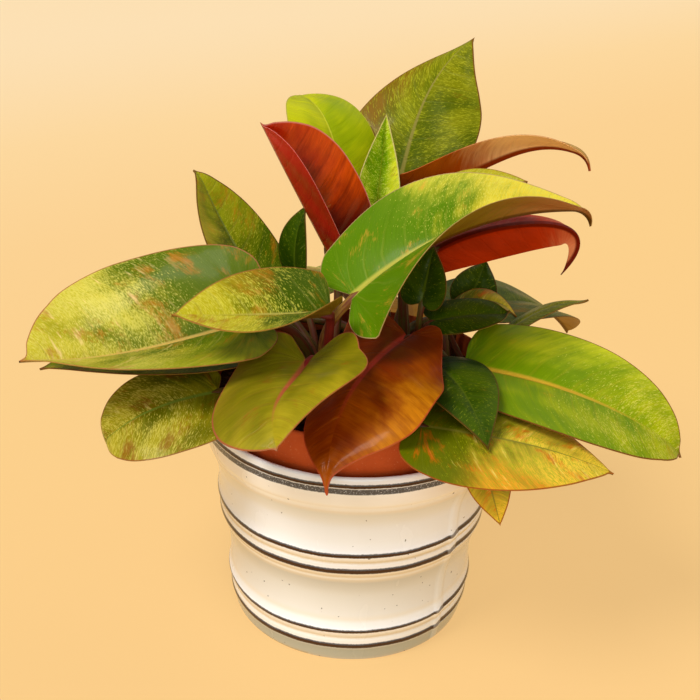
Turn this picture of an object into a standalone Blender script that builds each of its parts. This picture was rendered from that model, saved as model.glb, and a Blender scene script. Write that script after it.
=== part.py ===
"""Potted philodendron: a glazed stoneware pot around a clay growing pot, soil,
three short crown stems and a rosette of heart-based leaves on round stalks.

Base units are metres, +Z is up and the origin is the centre of the pot's flat
base, where it stands. The tables are in whole millimetres and degrees.
"""
import math
from dataclasses import dataclass

import bmesh
import bpy
import numpy as np

MM = 0.001

# Clearances
GAP = 0.3                 # between pieces that would touch
HOLE_ROOM = 0.4           # around a stalk in its hole

# Glazed outer pot: height, rim radius, floor thickness
POT_HEIGHT = 121.0
POT_RIM_RADIUS = 80.0
POT_FLOOR = 6.0
POT_SIDES = 36
SEAM_ANGLE = -43.0        # degrees from +X, right of the front
SEAM_WIDTH = 4.6          # degrees
SEAM_SLOPE = 0.7          # degrees, each side of the raised strip
SEAM_RISE = 0.8

# Clay growing pot
CLAY_RIM_Z = 141.0
CLAY_RIM_RADIUS = 76.0
CLAY_WALL = 2.0
CLAY_SIDES = 30

# Soil
SOIL_EDGE_Z = 130.0
SOIL_CROWN_Z = 133.0
SOIL_FLOOR_Z = 100.0
CROWN_FOOT_Z = 112.0      # lower end of each crown stem, inside its hole
STALK_FOOT_Z = 126.0      # lower end of each stalk, inside its hole
CUT_ABOVE = 4.0           # how far a hole's cutter stands out of the soil

# Blade thickness, and the stalk's hold under it
MARGIN_THICK = 0.9
RIB_THICK = 2.6
STALK_DROP = 2.0          # stalk's centre below the blade's upper face
STALK_SUNK = 5.0          # how far the stalk runs on along the midrib
STALK_STEPS = 5
STALK_SIDES = 6

# Side veins, which the rows of points follow
VEIN_SLANT = 0.6          # how far they run forward, as a share of their reach
VEIN_SOFT = 6.0           # mm over which they crowd together at the base

RIB_STEPS = 80
TAIL_START = 0.88         # share of the midrib where a curled tip starts

# Flat outline of half a blade: share of length, share of full width
POINTED = ((0, 0), (-.05, .09), (-.10, .20), (-.085, .33), (.02, .44), (.19, .50),
           (.39, .48), (.57, .40), (.73, .275), (.86, .14), (.94, .055), (1, 0))
BLUNT = ((0, 0), (-.05, .09), (-.10, .20), (-.085, .33), (.02, .44), (.19, .495),
         (.40, .50), (.60, .465), (.78, .37), (.89, .24), (.955, .10), (1, 0))


@dataclass
class Leaf:
    """One leaf; lengths in mm, angles in degrees, triples at base, middle and tip."""

    name: str
    foot: tuple               # x, y of the stalk in the soil
    hinge: tuple              # blade base
    tip: tuple                # blade tip
    width: float              # full flat width
    skin: str = "speckled"
    bow: tuple = (8, 10)      # midrib height off its chord at one and two thirds
    sweep: tuple = (0, 0)     # midrib shift to the side at one and two thirds
    reach: float = 0          # pushes the midrib past its tip before it hooks back
    roll: tuple = (0, 0, 0)   # turn about the midrib
    left: tuple = (10, 10, 10)       # fold of the left half
    lcurl: tuple = (-10, -10, -10)   # curl of the left half towards its margin
    right: tuple = (10, 10, 10)
    rcurl: tuple = (-10, -10, -10)
    lean: tuple = (0, 0, 0)   # over 0 the left half is the wider one
    lobe: float = 1.0         # size of the base lobes
    ears: float = 0           # lift of the base lobes
    belly: float = 1.0        # under 1 moves the widest place towards the tip
    blunt: float = 0.0        # 0 pointed, 1 rounded
    wave: tuple = (0, 2, 0)   # margin wave: height, count, start
    tail: float = 0           # turn of the last part of the tip
    stalk: tuple = (3.0, 2.2)        # radius at foot and blade
    knee: float = 0.35        # how straight the stalk runs into the blade
    lift: float = 0.4         # how far the stalk rises before it leans
    out: tuple = (0, 0, 1)    # direction of the stalk above the soil
    rows: int = 11            # steps along the margin
    cols: int = 2             # steps from midrib to margin


LEAVES = (
    Leaf("leaf_far_left", (-21, -10), (-52, -25, 176), (-161, -51, 163), 90, "speckled",
         bow=(-4, -11), roll=(-18, -20, -14), left=(18, 34, 40), lcurl=(-5, 0, 0), right=(55, 44, 20),
         rcurl=(-40, -35, -10), lobe=0.9, blunt=1.5, belly=0.97, tail=-15, lean=(-0.02, -0.06, 0.05)),
    Leaf("leaf_left_pointed", (-15, -27), (-13, -42, 190), (-84, -66, 196), 54, "speckled",
         knee=0.02, lift=0.5, bow=(-1, 0), roll=(-8, -8, -8), left=(50, 14, 0), lcurl=(0, 0, 0),
         right=(38, 35, 20), rcurl=(-30, -20, 0), lobe=0.2, blunt=0.2),
    Leaf("leaf_upper_left", (-20, -3), (-52, 22, 177), (-88, 40, 233), 54, "green",
         bow=(-4, -2), lobe=0.8, blunt=0.2, tail=-30, lcurl=(0, 0, 0), rcurl=(0, 0, 0)),
    Leaf("leaf_low_left", (-25, -21), (-66, -49, 149), (-121, -69, 126), 57, "speckled",
         bow=(6, 10), roll=(-17, -17, -17), left=(0, 0, 0), lcurl=(-15, -20, -20), right=(-8, -6, 2),
         rcurl=(-5, 0, 0), lobe=0.8, blunt=1, tail=-70),
    Leaf("leaf_under_left", (-29, -10), (-60, -12, 155), (-159, -28, 146), 58, "green",
         bow=(2, 4), roll=(-10, -10, -5), left=(18, 16, 8), right=(5, 5, 5)),
    Leaf("leaf_front_left", (-21, -31), (-23, -52, 168), (-32, -110, 153), 74, "olive",
         bow=(0, 9), sweep=(3, 8), roll=(0, 5, 10), left=(35, 27, 20), lcurl=(-10, -10, -5),
         right=(8, -3, -10), rcurl=(-20, -20, -10), lobe=1.9, belly=0.85, blunt=0.5, ears=15,
         lean=(0, 0.1, -0.4)),
    Leaf("leaf_front_bronze", (14, -22), (25, -18, 168), (-11, -101, 125), 66, "bronze",
         bow=(14, 16), sweep=(3, 7), lean=(-0.28, 0.34, -0.1), roll=(5, 5, 0), left=(20, 0, -5),
         lcurl=(-50, 0, 0), right=(12, -15, -1), rcurl=(-20, -10, -10), lobe=0.7, blunt=-0.9,
         belly=0.5, wave=(3, 1.5, 0), tail=-20, ears=30),
    Leaf("leaf_centre", (-14, -20), (-3, -28, 193), (119, 8, 229), 74, "lime",
         knee=0.55, bow=(18, 17), roll=(20, 12, 5), right=(12, 51, 12), rcurl=(-25, -6, -5), lobe=0.6,
         tail=-60, left=(12, 18, 13), blunt=-0.4, lean=(-0.03, 0.06, 0), belly=0.75),
    Leaf("leaf_right_curved", (26, 29), (20, 47, 224), (121, 42, 243), 38, "olive",
         knee=0.1, bow=(-5, 24), roll=(-10, -10, -5), left=(0, 0, 24), lcurl=(0, 0, 0),
         right=(35, 42, 0), rcurl=(0, 0, 0), lobe=0.3, belly=0.9, tail=-45),
    Leaf("leaf_right_folded", (47, 8), (36, 20, 199), (105, 26, 187), 42, "orange",
         bow=(0, 0), sweep=(18, 33), reach=50, roll=(-95, -95, -95), left=(0, 0, 0),
         lcurl=(20, 20, 20), right=(94, 93, 100), rcurl=(0, 0, 0), knee=0.08,
         lean=(-0.2, -0.12, -0.2)),
    Leaf("leaf_top", (15, 40), (18, 66, 217), (55, 84, 297), 70, "green",
         bow=(-3, -3), sweep=(-5, -12), roll=(60, 60, 55), left=(0, -30, -75), lcurl=(0, -10, 0),
         right=(5, 12, 12), rcurl=(0, 0, 0), lean=(0.05, -0.08, -0.65), belly=0.9),
    Leaf("leaf_top_left", (0, 26), (-8, 48, 207), (-39, 100, 259), 52, "lime",
         bow=(10, 22), lcurl=(-20, -20, -20), rcurl=(-20, -20, -20), blunt=0.8),
    Leaf("leaf_red_upright", (-13, 5), (-16, 21, 194), (-52, 17, 264), 57, "red",
         lean=(-0.12, -0.12, -0.12), bow=(-1, -1), roll=(-70, -70, -70), left=(97, 100, 105),
         lcurl=(0, 0, 0), right=(15, 15, 15), lobe=0.05, blunt=1, belly=0.9),
    Leaf("leaf_spear", (8, 14), (6, 44, 198), (10, 46, 264), 42, "speckled",
         bow=(-2, -2), roll=(62, 62, 62), left=(55, 55, 55), lcurl=(0, 0, 0), right=(55, 55, 55),
         rcurl=(0, 0, 0), lobe=0.3),
    Leaf("leaf_small_back", (-21, 9), (-35, 26, 183), (-30, 30, 218), 26, "dark",
         bow=(3, 3), lobe=0.5, rows=8, stalk=(2.2, 1.6)),
    Leaf("leaf_right_large", (57, -14), (55, -14, 151), (163, -52, 126), 76, "lime",
         bow=(10, 14), roll=(20, 20, 20), left=(4, 4, 4), right=(28, 20, 18), lobe=0.3, blunt=0.9,
         tail=-25),
    Leaf("leaf_right_low", (47, -24), (32, -72, 148), (122, -80, 131), 66, "yellow",
         bow=(3, 6), roll=(12, 12, 10), left=(-11, -8, -12), lcurl=(0, 0, 0), right=(0, 0, 5),
         lobe=0.9, blunt=0.3),
    Leaf("leaf_front_small", (38, -17), (38, -24, 157), (62, -89, 146), 42, "dark",
         bow=(8, 10), left=(5, 5, 5), right=(5, 5, 5)),
    Leaf("leaf_right_hanging", (57, -28), (58, -63, 138), (73, -74, 95), 25, "yellow",
         lift=0.45, bow=(3, 3), lobe=0.3, roll=(0, 40, 60), rows=8, stalk=(2.2, 1.6)),
    Leaf("leaf_inner_right", (52, 43), (60, 44, 161), (68, 48, 185), 26, "dark",
         bow=(0, 0), roll=(60, 60, 60), rows=8, stalk=(2.2, 1.6)),
    Leaf("leaf_right_tip", (60, -1), (78, 21, 155), (121, 24, 173), 24, "dark",
         bow=(4, 6), left=(-10, -10, -10), tail=30, rows=8, stalk=(2.2, 1.6)),
    Leaf("leaf_inner_cup", (53, -6), (37, -6, 172), (77, -2, 175), 30, "dark",
         bow=(2, 2), roll=(5, 5, 0), left=(10, 10, 20), right=(0, 0, 10), blunt=1, tail=60, rows=8,
         stalk=(2.2, 1.6), lobe=0.7),
    Leaf("leaf_inner_yellow", (57, 8), (49, 26, 159), (85, 28, 161), 24, "yellow",
         bow=(10, 12), roll=(10, 10, 10), rows=8, stalk=(2.2, 1.6)),
    Leaf("leaf_inner_dark", (32, 6), (31, -8, 182), (36, 0, 210), 26, "dark",
         bow=(0, 0), rows=8, stalk=(2.2, 1.6), lobe=0.8),
    Leaf("leaf_behind_centre", (25, 20), (30, 19, 210), (83, 26, 237), 44, "green",
         bow=(8, 12), roll=(10, 10, 10), left=(5, 5, 5), right=(5, 5, 5), lcurl=(0, 0, 0),
         rcurl=(0, 0, 0)),
    Leaf("leaf_back_left", (1, 34), (-48, 44, 151), (-128, 98, 112), 70, "lime",
         bow=(8, 14), blunt=0.5),
    Leaf("leaf_back_middle", (7, 39), (-10, 66, 158), (-40, 146, 124), 60, "speckled",
         bow=(10, 14), blunt=0.2, tail=-30),
    Leaf("leaf_back_right", (23, 37), (62, 57, 152), (128, 106, 118), 70, "speckled",
         bow=(10, 14), blunt=0.4),
    Leaf("leaf_back_low", (21, 47), (26, 76, 148), (34, 142, 88), 48, "green",
         bow=(8, 10), blunt=0.2),
    Leaf("leaf_right_back", (69, -5), (88, -2, 151), (150, 8, 96), 36, "olive",
         bow=(8, 8), blunt=0.2),
)

# Crown stems: name, centre x, y, radius, top z
CROWN_SIDES = 10
CROWNS = (
    ("crown_left", -7, -8, 8.0, 158),
    ("crown_right", 40, -4, 7.0, 150),
    ("crown_back", 13, 27, 7.0, 152),
)


def clear_scene():
    """Removes the objects that the file starts with."""
    for item in list(bpy.data.objects):
        bpy.data.objects.remove(item, do_unlink=True)


def material(name, colour, roughness, metallic=0.0, coat=0.0):
    """Returns a plain material with one shader."""
    mat = bpy.data.materials.get(name)
    if mat is None:
        mat = bpy.data.materials.new(name)
        mat.use_nodes = True
        shader = mat.node_tree.nodes["Principled BSDF"]
        shader.inputs["Base Color"].default_value = (*colour, 1.0)
        shader.inputs["Roughness"].default_value = roughness
        shader.inputs["Metallic"].default_value = metallic
        shader.inputs["Coat Weight"].default_value = coat
    return mat


def glaze_material():
    return material("cream_glaze", (0.78, 0.71, 0.58), 0.25, coat=0.4)


def clay_material():
    return material("clay", (0.42, 0.13, 0.05), 0.7)


def soil_material():
    return material("soil", (0.035, 0.022, 0.014), 0.95)


def crown_material():
    return material("crown_bark", (0.12, 0.07, 0.03), 0.8)


SKINS = {
    "speckled": (0.28, 0.34, 0.05), "lime": (0.22, 0.36, 0.04), "olive": (0.30, 0.27, 0.04),
    "bronze": (0.33, 0.12, 0.02), "red": (0.42, 0.04, 0.01), "orange": (0.40, 0.09, 0.01),
    "green": (0.12, 0.22, 0.03), "dark": (0.03, 0.09, 0.02), "yellow": (0.50, 0.38, 0.06),
    "dry": (0.30, 0.19, 0.08),
}


def leaf_material(skin):
    return material("leaf_" + skin, SKINS[skin], 0.38, coat=0.15)


def add_mesh(name, verts, faces, mat):
    """Makes an object from points in mm."""
    mesh = bpy.data.meshes.new(name)
    mesh.from_pydata([tuple(float(c) * MM for c in v) for v in verts], [], faces)
    bm = bmesh.new()
    bm.from_mesh(mesh)
    bmesh.ops.recalc_face_normals(bm, faces=bm.faces)
    bm.to_mesh(mesh)
    bm.free()
    mesh.shade_smooth()
    mesh.set_sharp_from_angle(angle=math.radians(45))
    obj = bpy.data.objects.new(name, mesh)
    bpy.context.scene.collection.objects.link(obj)
    if mat is not None:
        mesh.materials.append(mat)
    return obj


def combine(base, tools, operation):
    """Joins or cuts base with a collection of tools, which are then removed."""
    group = bpy.data.collections.new("tools")
    bpy.context.scene.collection.children.link(group)
    for tool in tools:
        bpy.context.scene.collection.objects.unlink(tool)
        group.objects.link(tool)
    mod = base.modifiers.new("combine", "BOOLEAN")
    mod.operation = operation
    mod.operand_type = "COLLECTION"
    mod.collection = group
    mod.solver = "MANIFOLD"
    depsgraph = bpy.context.evaluated_depsgraph_get()
    fresh = bpy.data.meshes.new_from_object(base.evaluated_get(depsgraph))
    base.modifiers.clear()
    old = base.data
    name = old.name
    base.data = fresh
    bpy.data.meshes.remove(old)
    fresh.name = name
    for tool in tools:
        bpy.data.objects.remove(tool, do_unlink=True)
    bpy.data.collections.remove(group)


# Round bodies

def lathe(name, profile, angles, mat, shift=None):
    """Turns a closed profile of (radius, z) in mm; a radius of 0 closes the end."""
    verts, faces, rings = [], [], []
    count = len(angles)
    for index, (radius, z) in enumerate(profile):
        if radius == 0:
            rings.append([len(verts)] * count)
            verts.append((0.0, 0.0, z))
            continue
        ring = []
        for angle in angles:
            r = radius + (shift(index, angle) if shift else 0.0)
            ring.append(len(verts))
            verts.append((r * math.cos(math.radians(angle)), r * math.sin(math.radians(angle)), z))
        rings.append(ring)
    for a, b in zip(rings[:-1], rings[1:]):
        for k in range(count):
            n = (k + 1) % count
            corners = []
            for v in (a[k], a[n], b[n], b[k]):
                if v not in corners:
                    corners.append(v)
            if len(corners) > 2:
                faces.append(corners)
    return add_mesh(name, verts, faces, mat)


def even_angles(sides):
    """Equal steps round a circle, in degrees."""
    return [360.0 * k / sides for k in range(sides)]


def glazed_pot():
    """Outer pot with two pairs of shallow ridges, a flared rim and a raised seam."""
    outside = [(64, 0), (66, 9), (66.6, 10.5), (66.2, 12), (67.3, 20), (67.9, 21.5),
               (66.8, 23.5), (67, 44), (71.3, 60), (72.3, 61.7), (72, 64), (72.8, 70.5), (73.4, 72),
               (72.5, 75), (73.4, 90), (77.2, 101), (78.6, 104), (POT_RIM_RADIUS, 116.5), (79.2, 119.8)]
    lip = [(78.4, POT_HEIGHT), (77.2, POT_HEIGHT), (76.4, 119)]
    inside = [(69, 84), (63, 45), (57, POT_FLOOR + 3), (54, POT_FLOOR)]
    profile = [(0, 0)] + outside + lip + inside + [(0, POT_FLOOR)]
    half = SEAM_WIDTH / 2
    seam = [SEAM_ANGLE + side * step for side in (-1, 1) for step in (half, half - SEAM_SLOPE)]
    angles = sorted(even_angles(POT_SIDES) + [angle % 360 for angle in seam])

    def seam_rise(index, angle):
        raised = abs((angle - SEAM_ANGLE + 180) % 360 - 180) < half - SEAM_SLOPE / 2
        return SEAM_RISE if raised and 1 < index <= len(outside) else 0.0

    return lathe("glazed_pot", profile, angles, glaze_material(), seam_rise)


def clay_pot():
    """Growing pot that stands inside and shows its rim above the lip."""
    base_z = POT_FLOOR + GAP
    profile = [(0, base_z), (50, base_z), (52, base_z + 4), (68, 96), (73.6, 119),
               (74.6, 122.5), (CLAY_RIM_RADIUS, 139.5), (75.6, CLAY_RIM_Z), (74.4, CLAY_RIM_Z),
               (73.6, 138), (72.2, 120), (66, 96), (50, base_z + 5), (48, base_z + CLAY_WALL),
               (0, base_z + CLAY_WALL)]
    return lathe("clay_pot", profile, even_angles(CLAY_SIDES), clay_material())


def stalk_hole(leaf):
    """Plain six-sided hole for one stalk, as a cutting body."""
    room = leaf.stalk[0] + HOLE_ROOM
    profile = [(0, STALK_FOOT_Z - GAP), (room, STALK_FOOT_Z - GAP),
               (room, SOIL_CROWN_Z + CUT_ABOVE), (0, SOIL_CROWN_Z + CUT_ABOVE)]
    hole = lathe("hole_" + leaf.name, profile, even_angles(STALK_SIDES), None)
    hole.location = (leaf.foot[0] * MM, leaf.foot[1] * MM, 0)
    return hole


def crown_hole(x, y, radius):
    """Plain round hole for one crown stem, as a cutting body."""
    room = radius + HOLE_ROOM
    profile = [(0, CROWN_FOOT_Z - GAP), (room, CROWN_FOOT_Z - GAP),
               (room, SOIL_CROWN_Z + CUT_ABOVE), (0, SOIL_CROWN_Z + CUT_ABOVE)]
    hole = lathe("hole_crown", profile, even_angles(CROWN_SIDES), None)
    hole.location = (x * MM, y * MM, 0)
    return hole


def soil_body():
    """Soil that fills the growing pot, with one plain hole for each stalk and stem."""
    profile = [(0, SOIL_FLOOR_Z), (66.9 - GAP, SOIL_FLOOR_Z), (72.4 - GAP, 120.5),
               (73.0 - GAP, SOIL_EDGE_Z), (50, SOIL_EDGE_Z + 1.5), (0, SOIL_CROWN_Z)]
    soil = lathe("soil", profile, even_angles(CLAY_SIDES), soil_material())
    tools = [stalk_hole(leaf) for leaf in LEAVES]
    tools += [crown_hole(x, y, radius) for _, x, y, radius, _ in CROWNS]
    combine(soil, tools, "DIFFERENCE")
    return soil


def crown_stem(name, x, y, radius, top):
    """Short ringed stem that the stalks stand around."""
    span = top - SOIL_CROWN_Z
    rings = ((0.9, 0), (1, 0.2), (0.86, 0.34), (0.92, 0.5), (0.7, 0.7), (0.5, 0.86))
    profile = [(0, CROWN_FOOT_Z), (radius * 0.9, CROWN_FOOT_Z)]
    profile += [(radius * wide, SOIL_CROWN_Z + span * high) for wide, high in rings] + [(0, top)]
    stem = lathe(name, profile, even_angles(CROWN_SIDES), crown_material())
    stem.location = (x * MM, y * MM, 0)
    return stem


# Leaves

def unit(v):
    v = np.asarray(v, float)
    return v / np.linalg.norm(v)


def turn(v, axis, degrees):
    """Turns v about axis."""
    a = math.radians(degrees)
    axis = unit(axis)
    v = np.asarray(v, float)
    return v * math.cos(a) + np.cross(axis, v) * math.sin(a) + axis * np.dot(axis, v) * (1 - math.cos(a))


def blend(values, f):
    """Smooth value at shares f from three at base, middle and tip."""
    a, b, c = values
    return a * (1 - f) * (1 - 2 * f) + b * 4 * f * (1 - f) + c * f * (2 * f - 1)


def spline(points, t):
    """Smooth curve through points at shares t of its chord length."""
    p = np.asarray(points, float)
    s = np.r_[0, np.cumsum(np.linalg.norm(np.diff(p, axis=0), axis=1))]
    s /= s[-1]
    m = np.empty_like(p)
    m[1:-1] = (p[2:] - p[:-2]) / (s[2:] - s[:-2])[:, None]
    m[0] = (p[1] - p[0]) / (s[1] - s[0])
    m[-1] = (p[-1] - p[-2]) / (s[-1] - s[-2])
    i = np.clip(np.searchsorted(s, t, side="right") - 1, 0, len(p) - 2)
    h = (s[i + 1] - s[i])[:, None]
    u = (t - s[i])[:, None] / h
    return ((2 * u**3 - 3 * u**2 + 1) * p[i] + (u**3 - 2 * u**2 + u) * h * m[i]
            + (3 * u**2 - 2 * u**3) * p[i + 1] + (u**3 - u**2) * h * m[i + 1])


def midrib(leaf):
    """Points, directions, upper normals and arc lengths along the midrib."""
    p0, p3 = np.array(leaf.hinge, float), np.array(leaf.tip, float)
    chord = unit(p3 - p0)
    up = np.array((0.0, 0.0, 1.0))
    n = turn(unit(up - np.dot(up, chord) * chord), chord, leaf.roll[1])
    b = np.cross(chord, n)
    k = 4 / 3
    p1 = p0 + (p3 - p0) / 3 + n * leaf.bow[0] * k + b * leaf.sweep[0] * k
    p2 = p0 + (p3 - p0) * 2 / 3 + n * leaf.bow[1] * k + b * leaf.sweep[1] * k + chord * leaf.reach
    t = np.linspace(0, 1, RIB_STEPS + 1)[:, None]
    c = (1 - t)**3 * p0 + 3 * (1 - t)**2 * t * p1 + 3 * (1 - t) * t**2 * p2 + t**3 * p3
    d = 3 * (1 - t)**2 * (p1 - p0) + 6 * (1 - t) * t * (p2 - p1) + 3 * t**2 * (p3 - p2)
    d /= np.linalg.norm(d, axis=1)[:, None]
    s = np.r_[0, np.cumsum(np.linalg.norm(np.diff(c, axis=0), axis=1))]
    normal = np.empty_like(c)
    mid = RIB_STEPS // 2
    normal[mid] = unit(n - np.dot(n, d[mid]) * d[mid])
    for i in range(mid + 1, RIB_STEPS + 1):
        normal[i] = unit(normal[i - 1] - np.dot(normal[i - 1], d[i]) * d[i])
    for i in range(mid - 1, -1, -1):
        normal[i] = unit(normal[i + 1] - np.dot(normal[i + 1], d[i]) * d[i])
    f = s / s[-1]
    extra = blend(leaf.roll, f) - leaf.roll[1]
    for i in range(RIB_STEPS + 1):
        normal[i] = turn(normal[i], d[i], extra[i])
    if leaf.tail:
        start = int(np.searchsorted(f, TAIL_START))
        axis = np.cross(d[start], normal[start])
        bent = c.copy()
        for i in range(start + 1, RIB_STEPS + 1):
            angle = leaf.tail * (f[i] - TAIL_START) / (1 - TAIL_START)
            bent[i] = bent[i - 1] + turn(c[i] - c[i - 1], axis, angle)
            d[i] = turn(d[i], axis, angle)
            normal[i] = turn(normal[i], axis, angle)
        c = bent
    return c, d, normal, s


def rib_frame(leaf, rib, x):
    """Point, direction, normal and right side at flat distances x along the midrib."""
    c, d, normal, s = rib
    inside = np.clip(x, 0, s[-1])

    def pick(values):
        return np.stack([np.interp(inside, s, values[:, j]) for j in range(3)], -1)

    point, along, up = pick(c), pick(d), pick(normal)
    along /= np.linalg.norm(along, axis=-1, keepdims=True)
    up -= (up * along).sum(-1, keepdims=True) * along
    up /= np.linalg.norm(up, axis=-1, keepdims=True)
    raised = turn(d[0], np.cross(d[0], normal[0]), -leaf.ears)
    point = point + np.minimum(x, 0)[..., None] * raised
    return point, along, up, np.cross(along, up)


def blade_grids(leaf, rows, cols):
    """Upper points and normals of the right and the left half, and the midrib."""
    rib = midrib(leaf)
    length, half = rib[3][-1], leaf.width / 2
    v = np.linspace(0, 1, rows + 1)
    outline = np.array(POINTED) + (np.array(BLUNT) - np.array(POINTED)) * leaf.blunt
    o = spline(outline, v)
    xo = np.where(o[:, 0] > 0, np.clip(o[:, 0], 0, 1)**leaf.belly, o[:, 0] * leaf.lobe) * length
    yo = np.clip(o[:, 1], 0, None) * leaf.width
    start = xo - VEIN_SLANT * yo
    start = (start + np.hypot(start, VEIN_SOFT) - VEIN_SOFT * np.clip(1 - xo / length, 0, 1)) / 2
    start = np.clip(start, 0, length)
    start[0], start[-1] = 0, length
    u, a = np.meshgrid(np.linspace(0, 1, cols + 1), start)
    xe, ye = xo[:, None], yo[:, None]
    x = (1 - u)**2 * a + 2 * (1 - u) * u * (a + 0.25 * (xe - a)) + u**2 * xe
    y = 2 * (1 - u) * u * 0.55 * ye + u**2 * ye
    point, _, up, side_dir = rib_frame(leaf, rib, x)
    f = np.clip(x / length, 0, 1)
    halves = []
    flat = y
    for side, fold, curl in ((1, leaf.right, leaf.rcurl), (-1, leaf.left, leaf.lcurl)):
        y = flat * (1 - side * blend(leaf.lean, f))
        phi = np.radians(blend(fold, f))
        k = np.radians(blend(curl, f)) / half
        k = np.where(np.abs(k) < 1e-6, 1e-6, k)
        angle = phi + k * y
        across = (np.sin(angle) - np.sin(phi)) / k
        raised = (np.cos(phi) - np.cos(angle)) / k
        height, count, begin = leaf.wave
        wave = height * (y / half)**2 * np.sin(2 * np.pi * (count * f + begin + (0.5 if side < 0 else 0)))
        normal = up * np.cos(angle)[..., None] - side * side_dir * np.sin(angle)[..., None]
        surface = point + side * side_dir * across[..., None] + up * raised[..., None]
        halves.append((surface + normal * wave[..., None], normal, y / half))
    return halves, rib


def blade_body(leaf):
    """Closed blade, thin at its margin and thick along its midrib."""
    halves, rib = blade_grids(leaf, leaf.rows, leaf.cols)
    verts, faces, known = [], [], {}

    def index(point):
        key = tuple(np.round(point, 3))
        if key not in known:
            known[key] = len(verts)
            verts.append(tuple(point))
        return known[key]

    def triangle(a, b, c):
        if len({a, b, c}) == 3:
            faces.append((a, b, c))

    middle = halves[0][1][:, :1] + halves[1][1][:, :1]
    middle = middle / np.linalg.norm(middle, axis=-1, keepdims=True)
    rib_depth = (RIB_THICK * (1 - 0.55 * np.linspace(0, 1, leaf.rows + 1)))[:, None]
    for top, normal, across in halves:
        depth = MARGIN_THICK + (rib_depth - MARGIN_THICK) * np.clip(1 - across * 1.6, 0, 1)**1.5
        down = normal.copy()
        down[:, :1] = middle
        down[0], down[-1] = middle[0], middle[-1]
        low = top - down * depth[..., None]
        rows, cols = top.shape[0], top.shape[1]
        up_id = [[index(top[i, j]) for j in range(cols)] for i in range(rows)]
        low_id = [[index(low[i, j]) for j in range(cols)] for i in range(rows)]
        for i in range(rows - 1):
            for j in range(cols - 1):
                for ids in (up_id, low_id):
                    triangle(ids[i][j], ids[i + 1][j], ids[i + 1][j + 1])
                    triangle(ids[i][j], ids[i + 1][j + 1], ids[i][j + 1])
            e = cols - 1
            triangle(up_id[i][e], up_id[i + 1][e], low_id[i + 1][e])
            triangle(up_id[i][e], low_id[i + 1][e], low_id[i][e])
    return add_mesh(leaf.name, verts, faces, leaf_material(leaf.skin)), rib


def stalk_path(leaf, rib):
    """Points and radii of the stalk from its hole to under the blade."""
    hinge, along, up = np.array(leaf.hinge, float), rib[1][0], rib[2][0]
    foot = np.array((leaf.foot[0], leaf.foot[1], STALK_FOOT_Z), float)
    soil = foot + (0, 0, SOIL_CROWN_Z + 2 - STALK_FOOT_Z)
    end = hinge - up * STALK_DROP
    span = np.linalg.norm(end - soil)
    p1 = soil + unit(leaf.out) * span * leaf.lift
    p2 = end - along * span * leaf.knee
    t = np.linspace(0, 1, STALK_STEPS + 1)[:, None]
    curve = (1 - t)**3 * soil + 3 * (1 - t)**2 * t * p1 + 3 * (1 - t) * t**2 * p2 + t**3 * end
    low, high = leaf.stalk
    radii = [low] + list(np.linspace(low, high, STALK_STEPS + 1)) + [high * 0.45]
    points = [foot] + list(curve) + [end + along * STALK_SUNK - up * 0.1]
    return points, radii


def stalk_body(leaf, rib):
    """Six-sided tube along the stalk."""
    points, radii = stalk_path(leaf, rib)
    verts, faces = [], []
    across = np.array((1.0, 0.0, 0.0))
    sides = STALK_SIDES
    for i, (point, radius) in enumerate(zip(points, radii)):
        ahead = points[min(i + 1, len(points) - 1)] - points[max(i - 1, 0)]
        direction = unit(ahead) if i > 1 else np.array((0.0, 0.0, 1.0))
        across = unit(across - np.dot(across, direction) * direction)
        other = np.cross(direction, across)
        for k in range(sides):
            angle = 2 * math.pi * k / sides
            verts.append(point + radius * (math.cos(angle) * across + math.sin(angle) * other))
    for i in range(len(points) - 1):
        for k in range(sides):
            n = (k + 1) % sides
            a, b = i * sides, (i + 1) * sides
            faces.append((a + k, a + n, b + n))
            faces.append((a + k, b + n, b + k))
    faces.append(tuple(range(sides - 1, -1, -1)))
    faces.append(tuple(range((len(points) - 1) * sides, len(points) * sides)))
    return add_mesh("stalk_" + leaf.name, verts, faces, leaf_material(leaf.skin))


def leaf_body(leaf):
    """One leaf: blade and stalk in one closed body."""
    blade, rib = blade_body(leaf)
    combine(blade, [stalk_body(leaf, rib)], "UNION")
    bm = bmesh.new()
    bm.from_mesh(blade.data)
    bmesh.ops.remove_doubles(bm, verts=bm.verts, dist=0.002 * MM)
    bmesh.ops.triangulate(bm, faces=bm.faces)
    bm.to_mesh(blade.data)
    bm.free()
    return blade


def main():
    """Builds every piece."""
    clear_scene()
    glazed_pot()
    clay_pot()
    soil_body()
    for name, x, y, radius, top in CROWNS:
        crown_stem(name, x, y, radius, top)
    for leaf in LEAVES:
        leaf_body(leaf)


main()
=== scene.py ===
"""Dressed model of a potted philodendron in a clay pot inside a glazed stoneware pot.

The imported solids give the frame. Every leaf, both pots, the soil and the crown
stems are replaced by finer pieces of the same form, with their own finishes.
Tables are in millimetres and degrees; MM turns them into the frame's metres.
"""
import logging
import math
import random
from dataclasses import dataclass, field
from enum import Enum
from typing import Sequence

import bmesh
import bpy
import numpy as np
from mathutils import Matrix, Vector


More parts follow.
